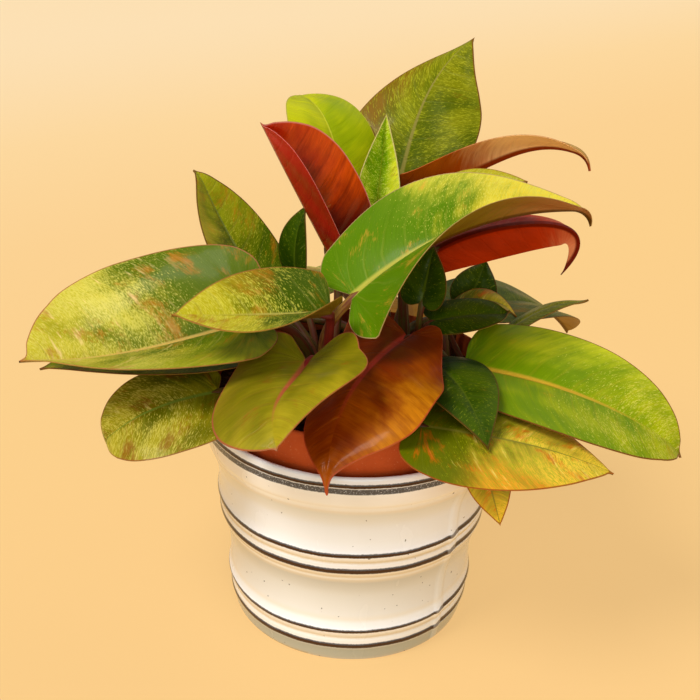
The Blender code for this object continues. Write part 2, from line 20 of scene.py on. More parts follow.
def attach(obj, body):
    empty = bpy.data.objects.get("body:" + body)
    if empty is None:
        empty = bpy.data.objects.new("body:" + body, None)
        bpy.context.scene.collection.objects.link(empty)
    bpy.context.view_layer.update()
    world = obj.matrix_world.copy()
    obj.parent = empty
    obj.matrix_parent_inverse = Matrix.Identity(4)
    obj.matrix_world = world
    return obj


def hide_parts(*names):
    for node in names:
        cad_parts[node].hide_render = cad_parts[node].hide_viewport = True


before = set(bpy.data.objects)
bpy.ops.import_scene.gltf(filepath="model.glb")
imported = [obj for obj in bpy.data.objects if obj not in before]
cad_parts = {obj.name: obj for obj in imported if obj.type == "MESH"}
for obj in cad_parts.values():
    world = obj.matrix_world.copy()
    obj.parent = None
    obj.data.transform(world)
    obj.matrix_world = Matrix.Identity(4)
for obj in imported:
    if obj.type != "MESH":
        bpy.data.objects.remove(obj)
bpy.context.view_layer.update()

MM = 0.001
BODY = "root"

LOG = logging.getLogger("philodendron")

Rgb = tuple[int, int, int]
Triple = tuple[float, float, float]
Pair = tuple[float, float]
Socket = bpy.types.NodeSocket

UV_WIDTH = 200.0         # mm across that a blade's UV map spans
UV_LENGTH = 100.0        # mm along for each unit of a UV map
BLACK = (0.0, 0.0, 0.0, 1.0)


class Slot(Enum):
    """Material slots of the record."""

    GLAZE = "cream_glaze"
    CLAY = "clay"
    SOIL = "soil"
    BARK = "crown_bark"
    SPECKLED = "leaf_speckled"
    GREEN = "leaf_green"
    OLIVE = "leaf_olive"
    BRONZE = "leaf_bronze"
    LIME = "leaf_lime"
    ORANGE = "leaf_orange"
    RED = "leaf_red"
    DARK = "leaf_dark"
    YELLOW = "leaf_yellow"


def linear(colour: Rgb) -> tuple[float, float, float, float]:
    """Turns a display colour of 0 to 255 into the renderer's linear values.

    Args:
        colour: Red, green and blue from 0 to 255.

    Returns:
        Linear red, green, blue and an alpha of 1.
    """
    def channel(value: float) -> float:
        """Linear value of one channel, by the usual curve of displays."""
        share = value / 255
        return share / 12.92 if share <= 0.04045 else ((share + 0.055) / 1.055) ** 2.4

    return (*(channel(value) for value in colour), 1.0)


# Shader nodes

MIX_COLOURS = (6, 7)     # a mix node's inputs for its two colours
MIX_RESULT = 2           # and its output for the mixed one


class Graph:
    """Adds shader nodes to one tree and links them."""

    def __init__(self, tree: bpy.types.NodeTree) -> None:
        """Keeps the tree that the nodes go into.

        Args:
            tree: Node tree of a material or of a group.
        """
        self.tree = tree

    def node(self, kind: str, **settings: object) -> bpy.types.Node:
        """Adds a node.

        Args:
            kind: Blender's type name of the node.
            **settings: Properties to set on it.

        Returns:
            The new node.
        """
        made = self.tree.nodes.new(kind)
        for key, value in settings.items():
            setattr(made, key, value)
        return made

    def feed(self, socket: Socket, value: object) -> None:
        """Links a socket to an input, or sets the input to a constant.

        Args:
            socket: Input to feed.
            value: Output socket, number or tuple.
        """
        if isinstance(value, Socket):
            self.tree.links.new(value, socket)
        else:
            socket.default_value = value

    def math(self, operation: str, a: object, b: object = 0.0, c: object = 0.0) -> Socket:
        """Adds a Math node.

        Args:
            operation: Name of the operation.
            a: First number or socket.
            b: Second one.
            c: Third one.

        Returns:
            The result.
        """
        made = self.node("ShaderNodeMath", operation=operation)
        for socket, value in zip(made.inputs, (a, b, c)):
            self.feed(socket, value)
        return made.outputs[0]

    def times(self, a: object, b: object) -> Socket:
        """Multiplies two values."""
        return self.math("MULTIPLY", a, b)

    def plus(self, a: object, b: object) -> Socket:
        """Adds two values."""
        return self.math("ADD", a, b)

    def minus(self, a: object, b: object) -> Socket:
        """Takes the second value from the first."""
        return self.math("SUBTRACT", a, b)

    def times_plus(self, a: object, b: object, c: object) -> Socket:
        """Multiplies the first two values and adds the third."""
        return self.math("MULTIPLY_ADD", a, b, c)

    def swing(self, value: object, size: object, base: object) -> Socket:
        """Adds the value's distance from 0.5, times size, to the base."""
        return self.times_plus(self.minus(value, 0.5), size, base)

    def mix(self, factor: object, a: object, b: object) -> Socket:
        """Adds a colour mix.

        Args:
            factor: Share of the second colour.
            a: First colour.
            b: Second colour.

        Returns:
            The mixed colour.
        """
        made = self.node("ShaderNodeMix", data_type="RGBA")
        self.feed(made.inputs["Factor"], factor)
        for index, value in zip(MIX_COLOURS, (a, b)):
            self.feed(made.inputs[index], value)
        return made.outputs[MIX_RESULT]

    def step(self, value: object, low: object, high: object, first: float = 0.0,
             last: float = 1.0) -> Socket:
        """Adds a smooth step from first at low to last at high.

        Args:
            value: Value that is compared.
            low: Where the step starts.
            high: Where it ends.
            first: Result below low.
            last: Result above high.

        Returns:
            The stepped value.
        """
        made = self.node("ShaderNodeMapRange", interpolation_type="SMOOTHSTEP", clamp=True)
        for key, item in (("Value", value), ("From Min", low), ("From Max", high),
                          ("To Min", first), ("To Max", last)):
            self.feed(made.inputs[key], item)
        return made.outputs["Result"]

    def rise(self, value: object, low: object, width: float) -> Socket:
        """Adds a smooth step from 0 at low to 1 where the value is width above it."""
        return self.step(value, low, self.plus(low, width))

    def noise(self, vector: object, detail: float = 2.0, roughness: float = 0.5) -> Socket:
        """Adds a noise texture with cells of one unit.

        Args:
            vector: Place to read it at.
            detail: Number of finer layers.
            roughness: Strength of the finer layers.

        Returns:
            The noise, from 0 to 1.
        """
        made = self.node("ShaderNodeTexNoise", noise_dimensions="3D")
        self.feed(made.inputs["Vector"], vector)
        for key, value in (("Scale", 1.0), ("Detail", detail), ("Roughness", roughness)):
            made.inputs[key].default_value = value
        return made.outputs["Fac"]

    def point(self, x: object, y: object, z: object = 0.0) -> Socket:
        """Joins three values into a vector.

        Args:
            x: First value.
            y: Second value.
            z: Third value.

        Returns:
            The vector.
        """
        made = self.node("ShaderNodeCombineXYZ")
        for socket, value in zip(made.inputs, (x, y, z)):
            self.feed(socket, value)
        return made.outputs[0]

    def parts(self, vector: object) -> tuple[Socket, ...]:
        """Splits a vector.

        Args:
            vector: Vector to split.

        Returns:
            Its three values.
        """
        made = self.node("ShaderNodeSeparateXYZ")
        self.feed(made.inputs[0], vector)
        return tuple(made.outputs)

    def attribute(self, name: str) -> Socket:
        """Reads a number stored on the mesh."""
        return self.node("ShaderNodeAttribute", attribute_name=name).outputs["Fac"]

    def uv(self, name: str) -> Socket:
        """Reads one of the mesh's UV maps."""
        return self.node("ShaderNodeUVMap", uv_map=name).outputs[0]

    def place(self) -> Socket:
        """Reads the object coordinates, in metres."""
        return self.node("ShaderNodeTexCoord").outputs["Object"]

    def scaled(self, vector: object, factor: float | Triple) -> Socket:
        """Multiplies a vector.

        Args:
            vector: Vector to multiply.
            factor: One number, or one for each axis.

        Returns:
            The longer or shorter vector.
        """
        made = self.node("ShaderNodeVectorMath", operation="MULTIPLY")
        self.feed(made.inputs[0], vector)
        made.inputs[1].default_value = factor if isinstance(factor, tuple) else (factor,) * 3
        return made.outputs[0]

    def ramp(self, value: object, stops: Sequence[tuple[float, Rgb]]) -> Socket:
        """Adds a colour ramp.

        Args:
            value: Value from 0 to 1.
            stops: Places from 0 to 1 with their display colours.

        Returns:
            The ramp's colour.
        """
        made = self.node("ShaderNodeValToRGB")
        self.feed(made.inputs[0], value)
        elements = made.color_ramp.elements
        while len(elements) > 1:
            elements.remove(elements[-1])
        elements[0].position = stops[0][0]
        elements[0].color = linear(stops[0][1])
        for place, colour in stops[1:]:
            elements.new(place).color = linear(colour)
        return made.outputs[0]

    def group(self, tree: bpy.types.NodeTree, inputs: dict[str, object]) -> bpy.types.Node:
        """Places a node group.

        Args:
            tree: Group to place.
            inputs: Values for its inputs by name.

        Returns:
            The group's node.
        """
        made = self.node("ShaderNodeGroup")
        made.node_tree = tree
        for key, value in inputs.items():
            self.feed(made.inputs[key], value)
        return made


def new_group(name: str, colours: Sequence[str], values: Sequence[str]) -> tuple[
        Graph, dict[str, Socket], bpy.types.Node]:
    """Starts a shader node group with Color, Roughness and Height as outputs.

    Args:
        name: Name of the group.
        colours: Names of its colour inputs.
        values: Names of its number inputs.

    Returns:
        The graph, the inputs by name and the output node.
    """
    tree = bpy.data.node_groups.new(name, "ShaderNodeTree")
    sockets = [*((key, "INPUT", "Color") for key in colours), *((key, "INPUT", "Float") for key in values),
               ("Color", "OUTPUT", "Color"), ("Roughness", "OUTPUT", "Float"),
               ("Height", "OUTPUT", "Float")]
    for key, in_out, kind in sockets:
        tree.interface.new_socket(name=key, in_out=in_out, socket_type="NodeSocket" + kind)
    graph = Graph(tree)
    source = graph.node("NodeGroupInput")
    return graph, {socket.name: socket for socket in source.outputs}, graph.node("NodeGroupOutput")


# Inputs of the blade's group, which are also fields of Skin in small letters
BLADE_COLOURS = ("Deep", "Light", "Fleck", "Patch", "Blotch", "Rib", "Edge", "Under", "Under rib",
                 "Under tip", "Glow")
BLADE_VALUES = ("Flecks", "Patches", "Blotches", "Rib width", "Veins", "Tip", "Start", "Rib end",
                "Glow side", "Glow from", "Under from")

# Noise on a blade: cells for each mm along the margin and across, shift, detail
FIELDS = {
    "broad": (0.045, 0.04, 0.0, 2.0),
    "middle": (0.10, 0.06, 3.0, 4.0),
    "streak": (0.50, 0.06, 5.0, 4.0),
    "fleck": (1.9, 0.30, 7.0, 2.0),
    "dot": (3.4, 0.60, 9.0, 1.0),
    "fine": (3.0, 0.10, 11.0, 2.0),
}
HALF_SHIFT = 9.0         # shift of the noise between a blade's two halves


@dataclass(frozen=True)
class Spots:
    """How one kind of spot is cut out of a noise."""

    fall: float          # how much lower the cut lies at a share of 1
    cut: float           # noise value of the cut at a share of 0
    soft: float          # width of the spots' edge
    strength: float


DOTS = Spots(0.27, 0.72, 0.08, 0.7)
DASHES = Spots(0.24, 0.76, 0.16, 0.6)
PATCHES = Spots(0.30, 0.70, 0.16, 0.8)
BLOTCHES = Spots(0.28, 0.66, 0.20, 0.75)


class BladeMarks:
    """Group that marks a blade: ground, glow (partly painted light), flecks, patches, blotches, ribs, edge
    and underside.
    """

    def __init__(self) -> None:
        """Starts the group, the places on the blade and the noise fields."""
        self.graph, self.given, self.out = new_group("leaf pattern", BLADE_COLOURS, (*BLADE_VALUES, "Seed"))
        graph = self.graph
        across_uv, along_uv, _ = graph.parts(graph.uv("vein"))
        self.signed = graph.times(graph.minus(across_uv, 0.5), UV_WIDTH)
        self.across = graph.math("ABSOLUTE", self.signed)
        self.rows = graph.times(along_uv, UV_LENGTH)
        self.along = graph.attribute("along")
        half = graph.times(graph.math("SIGN", self.signed), HALF_SHIFT)
        self.seed = graph.plus(self.given["Seed"], half)
        self.fields = {key: self.field(*numbers) for key, numbers in FIELDS.items()}

    def field(self, row_scale: float, across_scale: float, shift: float, detail: float) -> Socket:
        """Adds a noise that is stretched along the side veins.

        Args:
            row_scale: Cells for each mm along the margin.
            across_scale: Cells for each mm across.
            shift: Shift from the other fields.
            detail: Number of finer layers.

        Returns:
            The noise.
        """
        graph = self.graph
        place = graph.point(graph.times(self.rows, row_scale), graph.times(self.across, across_scale),
                            graph.plus(self.seed, shift))
        return graph.noise(place, detail=detail, roughness=0.6)

    def ground(self) -> Socket:
        """Mixes the two ground colours.

        Returns:
            The ground colour.
        """
        lift = self.graph.swing(self.fields["broad"], 1.7, 0.42)
        lift = self.graph.swing(self.fields["streak"], 0.7, lift)
        lift = self.graph.swing(self.along, self.given["Tip"], lift)
        return self.graph.mix(self.graph.step(lift, 0.05, 0.95), self.given["Deep"], self.given["Light"])

    def glow(self) -> Socket:
        """Masks the flank that takes the glow tone: on some leaves painted light that makes one half look
        more brightly lit, on others the leaf's own second colour.

        Returns:
            The mask.
        """
        graph = self.graph
        flank = graph.swing(self.fields["middle"], 26.0, graph.times(self.signed, self.given["Glow side"]))
        streaks = graph.step(self.fields["streak"], 0.25, 0.6, 0.45, 1.0)
        mask = graph.times(graph.step(flank, 3.0, 20.0), streaks)
        return graph.times(mask, graph.rise(self.along, self.given["Glow from"], 0.3))

    def spots(self, kind: Spots, noise: Socket, share: Socket) -> Socket:
        """Masks one kind of spot.

        Args:
            kind: How the spots are cut out.
            noise: Noise that they are cut out of.
            share: How many there are, from 0 to 1.

        Returns:
            The mask.
        """
        cut = self.graph.times_plus(share, -kind.fall, kind.cut)
        return self.graph.times(self.graph.rise(noise, cut, kind.soft), kind.strength)

    def flecks(self, reach: Socket) -> Socket:
        """Masks the dots and short dashes.

        Args:
            reach: Share of the marks that this part of the blade has.

        Returns:
            The mask.
        """
        graph, fields = self.graph, self.fields
        share = graph.times(graph.times(self.given["Flecks"], reach),
                            graph.step(fields["broad"], 0.30, 0.62, 0.6, 1.15))
        mask = graph.math("MAXIMUM", self.spots(DOTS, fields["dot"], share),
                          self.spots(DASHES, fields["fleck"], share))
        return graph.times(mask, graph.step(share, 0.0, 0.15))

    def side_veins(self) -> Socket:
        """Masks the side veins.

        Returns:
            The mask.
        """
        graph = self.graph
        wave = graph.math("SINE", graph.times_plus(self.fields["broad"], 5.0, graph.times(self.rows, 0.82)))
        return graph.times(graph.step(wave, 0.86, 1.0), graph.step(self.across, 34.0, 4.0))

    def midrib(self) -> Socket:
        """Masks the midrib, which narrows to the tip.

        Returns:
            The mask.
        """
        graph, end = self.graph, self.given["Rib end"]
        width = graph.times(self.given["Rib width"], graph.step(self.along, 0.0, 1.05, 1.0, 0.12))
        rib = graph.step(self.across, width, graph.times(width, 0.35))
        return graph.times(rib, graph.step(self.along, end, graph.minus(end, 0.45)))

    def back(self, veins: Socket) -> Socket:
        """Mixes the underside.

        Args:
            veins: Mask of the side veins.

        Returns:
            Its colour.
        """
        graph, rib = self.graph, self.given["Under rib"]
        cloud = graph.step(self.fields["middle"], 0.35, 0.7, 0.0, 0.35)
        colour = graph.mix(cloud, self.given["Under"], rib)
        far = graph.rise(graph.times_plus(self.fields["streak"], 0.3, self.along),
                         self.given["Under from"], 0.35)
        colour = graph.mix(far, colour, self.given["Under tip"])
        colour = graph.mix(graph.step(self.across, 2.6, 1.4), colour, rib)
        return graph.mix(veins, colour, rib)

    def build(self) -> bpy.types.NodeTree:
        """Lays the marks over each other.

        Returns:
            The node group.
        """
        graph, given, fields = self.graph, self.given, self.fields
        reach = graph.step(self.along, graph.minus(given["Start"], 0.25), graph.plus(given["Start"], 0.25),
                           0.08, 1.0)
        patches = self.spots(PATCHES, graph.swing(fields["middle"], 0.5, fields["streak"]),
                             given["Patches"])
        blotches = self.spots(BLOTCHES, graph.swing(fields["fleck"], 0.35, fields["middle"]),
                              given["Blotches"])
        line = self.side_veins()
        veins = graph.times(line, given["Veins"])
        rim = graph.math("MAXIMUM", graph.step(graph.attribute("edge"), 0.75, 0.35),
                         graph.step(self.along, 0.955, 0.99))
        colour = self.ground()
        # The glow is partly painted light on one half of the blade.
        for mask, tone in ((self.glow(), given["Glow"]),
                           (self.flecks(reach), given["Fleck"]),
                           (graph.times(patches, reach), given["Patch"]),
                           (blotches, given["Blotch"]),
                           (veins, given["Rib"]),
                           (graph.step(fields["fine"], 0.35, 0.75, 0.0, 0.12), BLACK),
                           (graph.times(self.midrib(), 0.9), given["Rib"]),
                           (graph.times(rim, 0.85), given["Edge"])):
            colour = graph.mix(mask, colour, tone)
        under = graph.attribute("under")
        colour = graph.mix(graph.step(under, 0.4, 0.6), colour, self.back(veins))
        graph.feed(self.out.inputs["Color"], colour)

        rough = graph.plus(graph.step(fields["streak"], 0.3, 0.7, 0.0, 0.10),
                           graph.step(under, 0.4, 0.6, 0.36, 0.42))
        graph.feed(self.out.inputs["Roughness"], rough)
        height = graph.times_plus(fields["fine"], 0.5, graph.times(line, -0.6))
        graph.feed(self.out.inputs["Height"], graph.times_plus(fields["streak"], 0.5, height))
        return graph.tree


def fibre_pattern() -> bpy.types.NodeTree:
    """Builds the group for stalks and stems: long streaks between two colours.

    Returns:
        The node group, with Color, Roughness and Height as outputs.
    """
    graph, given, out = new_group("fibre pattern", ("Main", "Streak"), ("Seed", "Amount"))
    around, along, _ = graph.parts(graph.uv("vein"))
    lines = graph.noise(graph.point(graph.times(around, 14.0), graph.times(along, 2.2), given["Seed"]),
                        detail=4.0, roughness=0.6)
    spots = graph.noise(graph.point(graph.times(around, 4.0), graph.times(along, 9.0), given["Seed"]))
    mask = graph.times(graph.step(graph.plus(lines, spots), 0.85, 1.15), given["Amount"])
    graph.feed(out.inputs["Color"], graph.mix(mask, given["Main"], given["Streak"]))
    graph.feed(out.inputs["Roughness"], graph.step(lines, 0.3, 0.7, 0.38, 0.6))
    graph.feed(out.inputs["Height"], lines)
    return graph.tree


PATTERN = BladeMarks().build()
FIBRE = fibre_pattern()
COAT_ROUGHNESS = 0.12


def start_material(name: str, roughness: float, coat: float = 0.0, shine: float = 0.5,
                   tint: Triple = (1.0, 1.0, 1.0)) -> tuple[bpy.types.Material, Graph, bpy.types.Node]:
    """Makes a material with one shader.

    Args:
        name: Name of the material.
        roughness: Roughness of the shader.
        coat: Weight of its clear coat.
        shine: Strength of its plain reflection, 0.5 for glass.
        tint: Colour of that reflection.

    Returns:
        The material, its graph and its shader.
    """
    made = bpy.data.materials.new(name)
    made.use_nodes = True
    shader = made.node_tree.nodes["Principled BSDF"]
    for key, value in (("Roughness", roughness), ("Coat Weight", coat), ("Coat Roughness", COAT_ROUGHNESS),
                       ("Specular IOR Level", shine), ("Specular Tint", (*tint, 1.0))):
        shader.inputs[key].default_value = value
    return made, Graph(made.node_tree), shader


def bump(graph: Graph, shader: bpy.types.Node, height: Socket, depth: float) -> None:
    """Raises a material's surface.

    Args:
        graph: Graph of the material.
        shader: Its shader.
        height: Height from 0 to 1.
        depth: Depth of the relief in millimetres.
    """
    node = graph.node("ShaderNodeBump")
    node.inputs["Distance"].default_value = depth * MM
    node.inputs["Strength"].default_value = 1.0
    graph.feed(node.inputs["Height"], height)
    graph.feed(shader.inputs["Normal"], node.outputs["Normal"])


BLADE_SHINE = 0.13
BLADE_TINT = (1.0, 0.92, 0.5)
BLADE_RELIEF = 0.16      # mm
STALK_RELIEF = 0.25      # mm


@dataclass(frozen=True)
class Skin:
    """Colours and markings of a leaf. Colours are display values, shares run from 0 to 1."""

    name: str
    slot: Slot
    deep: Rgb
    light: Rgb
    fleck: Rgb = (206, 208, 88)
    patch: Rgb = (222, 206, 104)
    blotch: Rgb = (176, 104, 24)
    rib: Rgb = (196, 178, 84)
    edge: Rgb = (112, 50, 28)
    under: Rgb = (136, 110, 28)
    under_rib: Rgb = (116, 84, 22)
    under_tip: Rgb = (160, 124, 44)
    # glow: tone on one flank, partly painted light that makes one half look lit, partly the leaf's own
    # colour
    glow: Rgb = (190, 120, 30)
    stalk: Rgb = (84, 72, 18)
    stalk_streak: Rgb = (100, 26, 12)
    flecks: float = 0.5
    patches: float = 0.2
    blotches: float = 0.2
    rib_width: float = 2.4
    veins: float = 0.15
    tip: float = 0.3
    start: float = 0.0
    rib_end: float = 1.3
    glow_side: float = 0.0
    glow_from: float = 0.25
    under_from: float = 0.6
    gloss: float = 0.05

    def blade(self, seed: float) -> bpy.types.Material:
        """Makes the blade's material.

        Args:
            seed: Shifts the markings.

        Returns:
            The material.
        """
        made, graph, shader = start_material(f"blade_{self.name}_{seed:g}", 0.4, self.gloss,
                                             BLADE_SHINE, BLADE_TINT)
        inputs = {name: linear(self.given(name)) for name in BLADE_COLOURS}
        inputs.update({name: self.given(name) for name in BLADE_VALUES})
        marks = graph.group(PATTERN, {**inputs, "Seed": seed})
        graph.feed(shader.inputs["Base Color"], marks.outputs["Color"])
        graph.feed(shader.inputs["Roughness"], marks.outputs["Roughness"])
        bump(graph, shader, marks.outputs["Height"], BLADE_RELIEF)
        return made

    def given(self, name: str) -> Rgb | float:
        """Gives the field that an input of the blade's group is named after."""
        return getattr(self, name.lower().replace(" ", "_"))

    def stem(self, seed: float) -> bpy.types.Material:
        """Makes the stalk's material.

        Args:
            seed: Shifts the streaks.

        Returns:
            The material.
        """
        made, graph, shader = start_material(f"stalk_{self.name}_{seed:g}", 0.45, shine=0.3)
        lines = graph.group(FIBRE, {"Main": linear(self.stalk), "Streak": linear(self.stalk_streak),
                                    "Seed": seed, "Amount": 0.8})
        graph.feed(shader.inputs["Base Color"], lines.outputs["Color"])
        graph.feed(shader.inputs["Roughness"], lines.outputs["Roughness"])
        bump(graph, shader, lines.outputs["Height"], STALK_RELIEF)
        return made


# Its glow is painted light: it lightens the lower half, which the lamps leave in shade.
GOLD_FLECKED = Skin("gold_flecked", Slot.SPECKLED, (88, 108, 0), (206, 186, 40), fleck=(232, 216, 96),
                    patch=(252, 216, 140), blotch=(186, 112, 10), flecks=1.0, patches=0.42, blotches=0.5,
                    rib=(220, 184, 96), edge=(176, 96, 62), rib_width=1.8, tip=1.5, start=0.32,
                    glow=(178, 176, 30), glow_side=-0.5, glow_from=-0.3)
LEMON_FLECKED = Skin("lemon_flecked", Slot.SPECKLED, (70, 90, 0), (198, 180, 26), fleck=(226, 212, 76),
                     patch=(240, 208, 92), blotch=(176, 104, 6), flecks=0.75, patches=0.3, blotches=0.45,
                     edge=(160, 96, 46), rib_width=1.4, rib_end=0.8, tip=1.9, start=0.15,
                     glow=(196, 144, 20), glow_side=0.6, stalk=(120, 30, 20))
DUSKY_FLECKED = Skin("dusky_flecked", Slot.SPECKLED, (92, 92, 0), (172, 156, 22), fleck=(212, 194, 78),
                     flecks=0.75, patches=0.25, blotches=0.5, blotch=(138, 72, 4), rib=(116, 134, 40),
                     edge=(150, 90, 44), rib_width=1.6, start=0.2)
DEEP_GREEN = Skin("deep_green", Slot.GREEN, (84, 98, 0), (146, 144, 4), fleck=(180, 178, 34), flecks=0.62,
                  patches=0.06, blotches=0.25, blotch=(130, 84, 4), rib=(150, 136, 60), veins=0.07,
                  edge=(120, 62, 24), rib_width=1.6, glow=(136, 94, 10), glow_side=-0.7, glow_from=0.0)
BUSH_GREEN = Skin("bush_green", Slot.GREEN, (74, 92, 0), (140, 144, 10), fleck=(182, 176, 56), flecks=0.4,
                  patches=0.05, blotches=0.42, blotch=(180, 126, 22), rib=(128, 126, 60), rib_width=1.8)
SUNNY_GREEN = Skin("sunny_green", Slot.GREEN, (82, 104, 0), (176, 174, 20), fleck=(212, 200, 60),
                   flecks=0.45, patches=0.05, blotches=0.45, blotch=(196, 122, 16), rib=(132, 140, 60),
                   rib_width=1.6, tip=1.3, glow=(226, 196, 56), glow_side=-0.7)
SHADOW_GREEN = Skin("shadow_green", Slot.DARK, (30, 54, 0), (68, 90, 2), flecks=0.3, patches=0.0,
                    blotches=0.0, fleck=(150, 156, 30), rib=(76, 92, 12), rib_width=1.2, edge=(90, 60, 20))
OLIVE = Skin("olive", Slot.OLIVE, (128, 118, 8), (182, 160, 26), flecks=0.0, patches=0.0,
             blotches=0.3, blotch=(158, 96, 10), rib=(192, 88, 56), rib_width=2.6, rib_end=0.85,
             edge=(172, 80, 54), under=(150, 70, 26), tip=0.5, veins=0.08,
             glow=(124, 84, 30), glow_side=0.35, glow_from=-0.4,
             stalk=(150, 30, 26), stalk_streak=(190, 60, 50))
BRONZE = Skin("bronze", Slot.BRONZE, (124, 40, 0), (172, 80, 0), flecks=0.0, patches=0.0,
              blotches=0.0, blotch=(100, 26, 0), rib=(196, 62, 44), rib_width=3.2, rib_end=0.75,
              edge=(172, 66, 34), under=(140, 56, 16), tip=0.5, veins=0.0, gloss=0.08,
              glow=(200, 120, 8), glow_side=-0.5, glow_from=0.2)
LIME = Skin("lime", Slot.LIME, (92, 130, 0), (250, 218, 52), fleck=(236, 222, 90), flecks=0.85, patches=0.1,
            blotches=0.35, blotch=(226, 160, 50), rib=(196, 184, 70), rib_width=2.6, rib_end=0.9,
            edge=(186, 144, 96), under=(136, 112, 14), under_rib=(98, 58, 8), under_tip=(176, 112, 60),
            stalk=(150, 108, 40), tip=2.4, start=0.42, veins=0.12,
            glow=(210, 208, 64), glow_side=-0.35, glow_from=0.2)
LIME_WIDE = Skin("lime_wide", Slot.LIME, (114, 142, 0), (178, 180, 8), flecks=0.6, patches=0.04,
                 blotches=0.1, fleck=(224, 212, 84), blotch=(190, 150, 6), rib=(206, 158, 40),
                 rib_width=2.8, edge=(124, 46, 22), under=(140, 90, 40), tip=0.4, start=0.5, veins=0.1,
                 rib_end=0.9,
                 glow=(208, 206, 30), glow_side=-0.4, glow_from=0.05)
PALE_LIME = Skin("pale_lime", Slot.LIME, (150, 164, 0), (206, 202, 4), flecks=0.0, patches=0.0,
                 blotches=0.0, rib=(206, 200, 50), rib_width=1.0, edge=(190, 172, 50), tip=0.6, veins=0.0)
# Its glow is painted light: it lightens the right half as if lit, while the left half stays in shade.
SPEAR = Skin("spear", Slot.SPECKLED, (122, 168, 0), (224, 240, 10), fleck=(255, 255, 110), flecks=0.8,
             patches=0.1, blotches=0.1, rib=(190, 196, 40), edge=(236, 220, 140), rib_width=0.8, tip=0.2,
             start=-0.3, glow=(255, 255, 50), glow_side=1.1, glow_from=-0.4)
FRESH_GREEN = Skin("fresh_green", Slot.GREEN, (104, 128, 0), (198, 184, 30), flecks=0.6, patches=0.2,
                   blotches=0.1, rib=(186, 186, 74), rib_width=1.4, edge=(150, 94, 44), tip=0.7)
# Its pale pink edge is partly the margin's own colour and partly a painted highlight along the margin.
RED = Skin("red", Slot.RED, (100, 4, 0), (188, 30, 0), flecks=0.0, patches=0.0, blotches=0.0,
           blotch=(104, 6, 0), rib=(150, 14, 4), rib_width=2.0, edge=(230, 130, 112),
           under=(178, 18, 14), under_rib=(150, 10, 6), under_tip=(190, 30, 24), tip=1.9, veins=0.0,
           gloss=0.4, glow=(230, 78, 2), glow_side=0.7, glow_from=0.1)
SCARLET_UNDER = Skin("scarlet_under", Slot.ORANGE, (150, 100, 30), (220, 150, 90), flecks=0.0,
                     patches=0.0, blotches=0.0, rib=(160, 80, 40), edge=(160, 60, 20),
                     under=(190, 44, 0), under_rib=(116, 18, 0), under_tip=(220, 124, 76), veins=0.0,
                     tip=0.6, gloss=0.0, under_from=0.7)
RUST_UNDER = Skin("rust_under", Slot.OLIVE, (150, 120, 20), (206, 160, 80), flecks=0.3,
                  patches=0.1, blotches=0.2, rib=(150, 100, 40), edge=(176, 84, 50),
                  under=(196, 84, 4), under_rib=(140, 44, 0), under_tip=(255, 196, 126), tip=0.5,
                  under_from=0.42, veins=0.04)
AMBER = Skin("amber", Slot.YELLOW, (104, 108, 0), (255, 212, 60), flecks=0.7, patches=0.3,
             blotches=0.42, fleck=(176, 172, 26), patch=(255, 226, 110), blotch=(222, 100, 8),
             rib=(140, 130, 40), rib_width=1.4, edge=(158, 66, 20), under=(190, 120, 40), tip=1.3,
             start=0.2, glow=(250, 166, 36), glow_side=0.6, glow_from=0.15)


# Leaves

# Flat outline of half a blade: share of length, share of full width
POINTED = ((0, 0), (-.05, .09), (-.10, .20), (-.085, .33), (.02, .44), (.19, .50), (.39, .48),
           (.57, .40), (.73, .275), (.86, .14), (.94, .055), (.975, .016), (1, 0))
BLUNT = ((0, 0), (-.05, .09), (-.10, .20), (-.085, .33), (.02, .44), (.19, .495), (.40, .50),
         (.60, .465), (.78, .37), (.89, .24), (.955, .10), (.972, .022), (1, 0))

RIB_STEPS = 80
TAIL_START = 0.88        # share of the midrib where a curled tip starts
VEIN_SLANT = 0.6         # how far the side veins run forward, as a share of their reach
VEIN_SOFT = 6.0          # mm over which they crowd together at the base
STALK_FOOT_Z = 126.0
SOIL_TOP_Z = 133.0
STALK_DROP = 2.0         # stalk's centre below the blade's upper face
STALK_SUNK = 5.0         # how far the stalk runs on along the midrib
VEIN_PULL = (0.25, 0.55)     # where a side vein's curve is drawn, along and across
RIB_SOFT = 4.0           # mm over which the blade's two halves blend at the midrib
ROW_STRETCH = 1.25       # length of the margin as a multiple of the midrib's
CHANNEL = (0.7, 1.5)     # depth and half width of the midrib's channel
RIDGE = (2.0, 1.7)       # height and half width of the ridge under it
SIDE_VEINS = (0.16, 13)  # height and number of the side veins
BUCKLE = (0.5, 70)       # height of the gentle buckling, and the blade width that has it
MARGIN_THICK = 0.45
INNER_THICK = 0.3        # how much thicker the blade is at the midrib
SHARP_ANGLE = 50         # degrees past which an edge is shaded sharp


def unit(v: Sequence[float]) -> np.ndarray:
    """Returns v at a length of 1."""
    v = np.asarray(v, float)
    return v / np.linalg.norm(v)


def turn(v: np.ndarray, axis: np.ndarray, degrees: float) -> np.ndarray:
    """Turns a vector.

    Args:
        v: Vector to turn.
        axis: Axis to turn it about.
        degrees: Angle in degrees.

    Returns:
        The turned vector.
    """
    a = math.radians(degrees)
    axis = unit(axis)
    return v * math.cos(a) + np.cross(axis, v) * math.sin(a) + axis * np.dot(axis, v) * (1 - math.cos(a))


def blend(values: Triple, f: np.ndarray) -> np.ndarray:
    """Smooth values at shares f from three at base, middle and tip."""
    a, b, c = values
    return a * (1 - f) * (1 - 2 * f) + b * 4 * f * (1 - f) + c * f * (2 * f - 1)


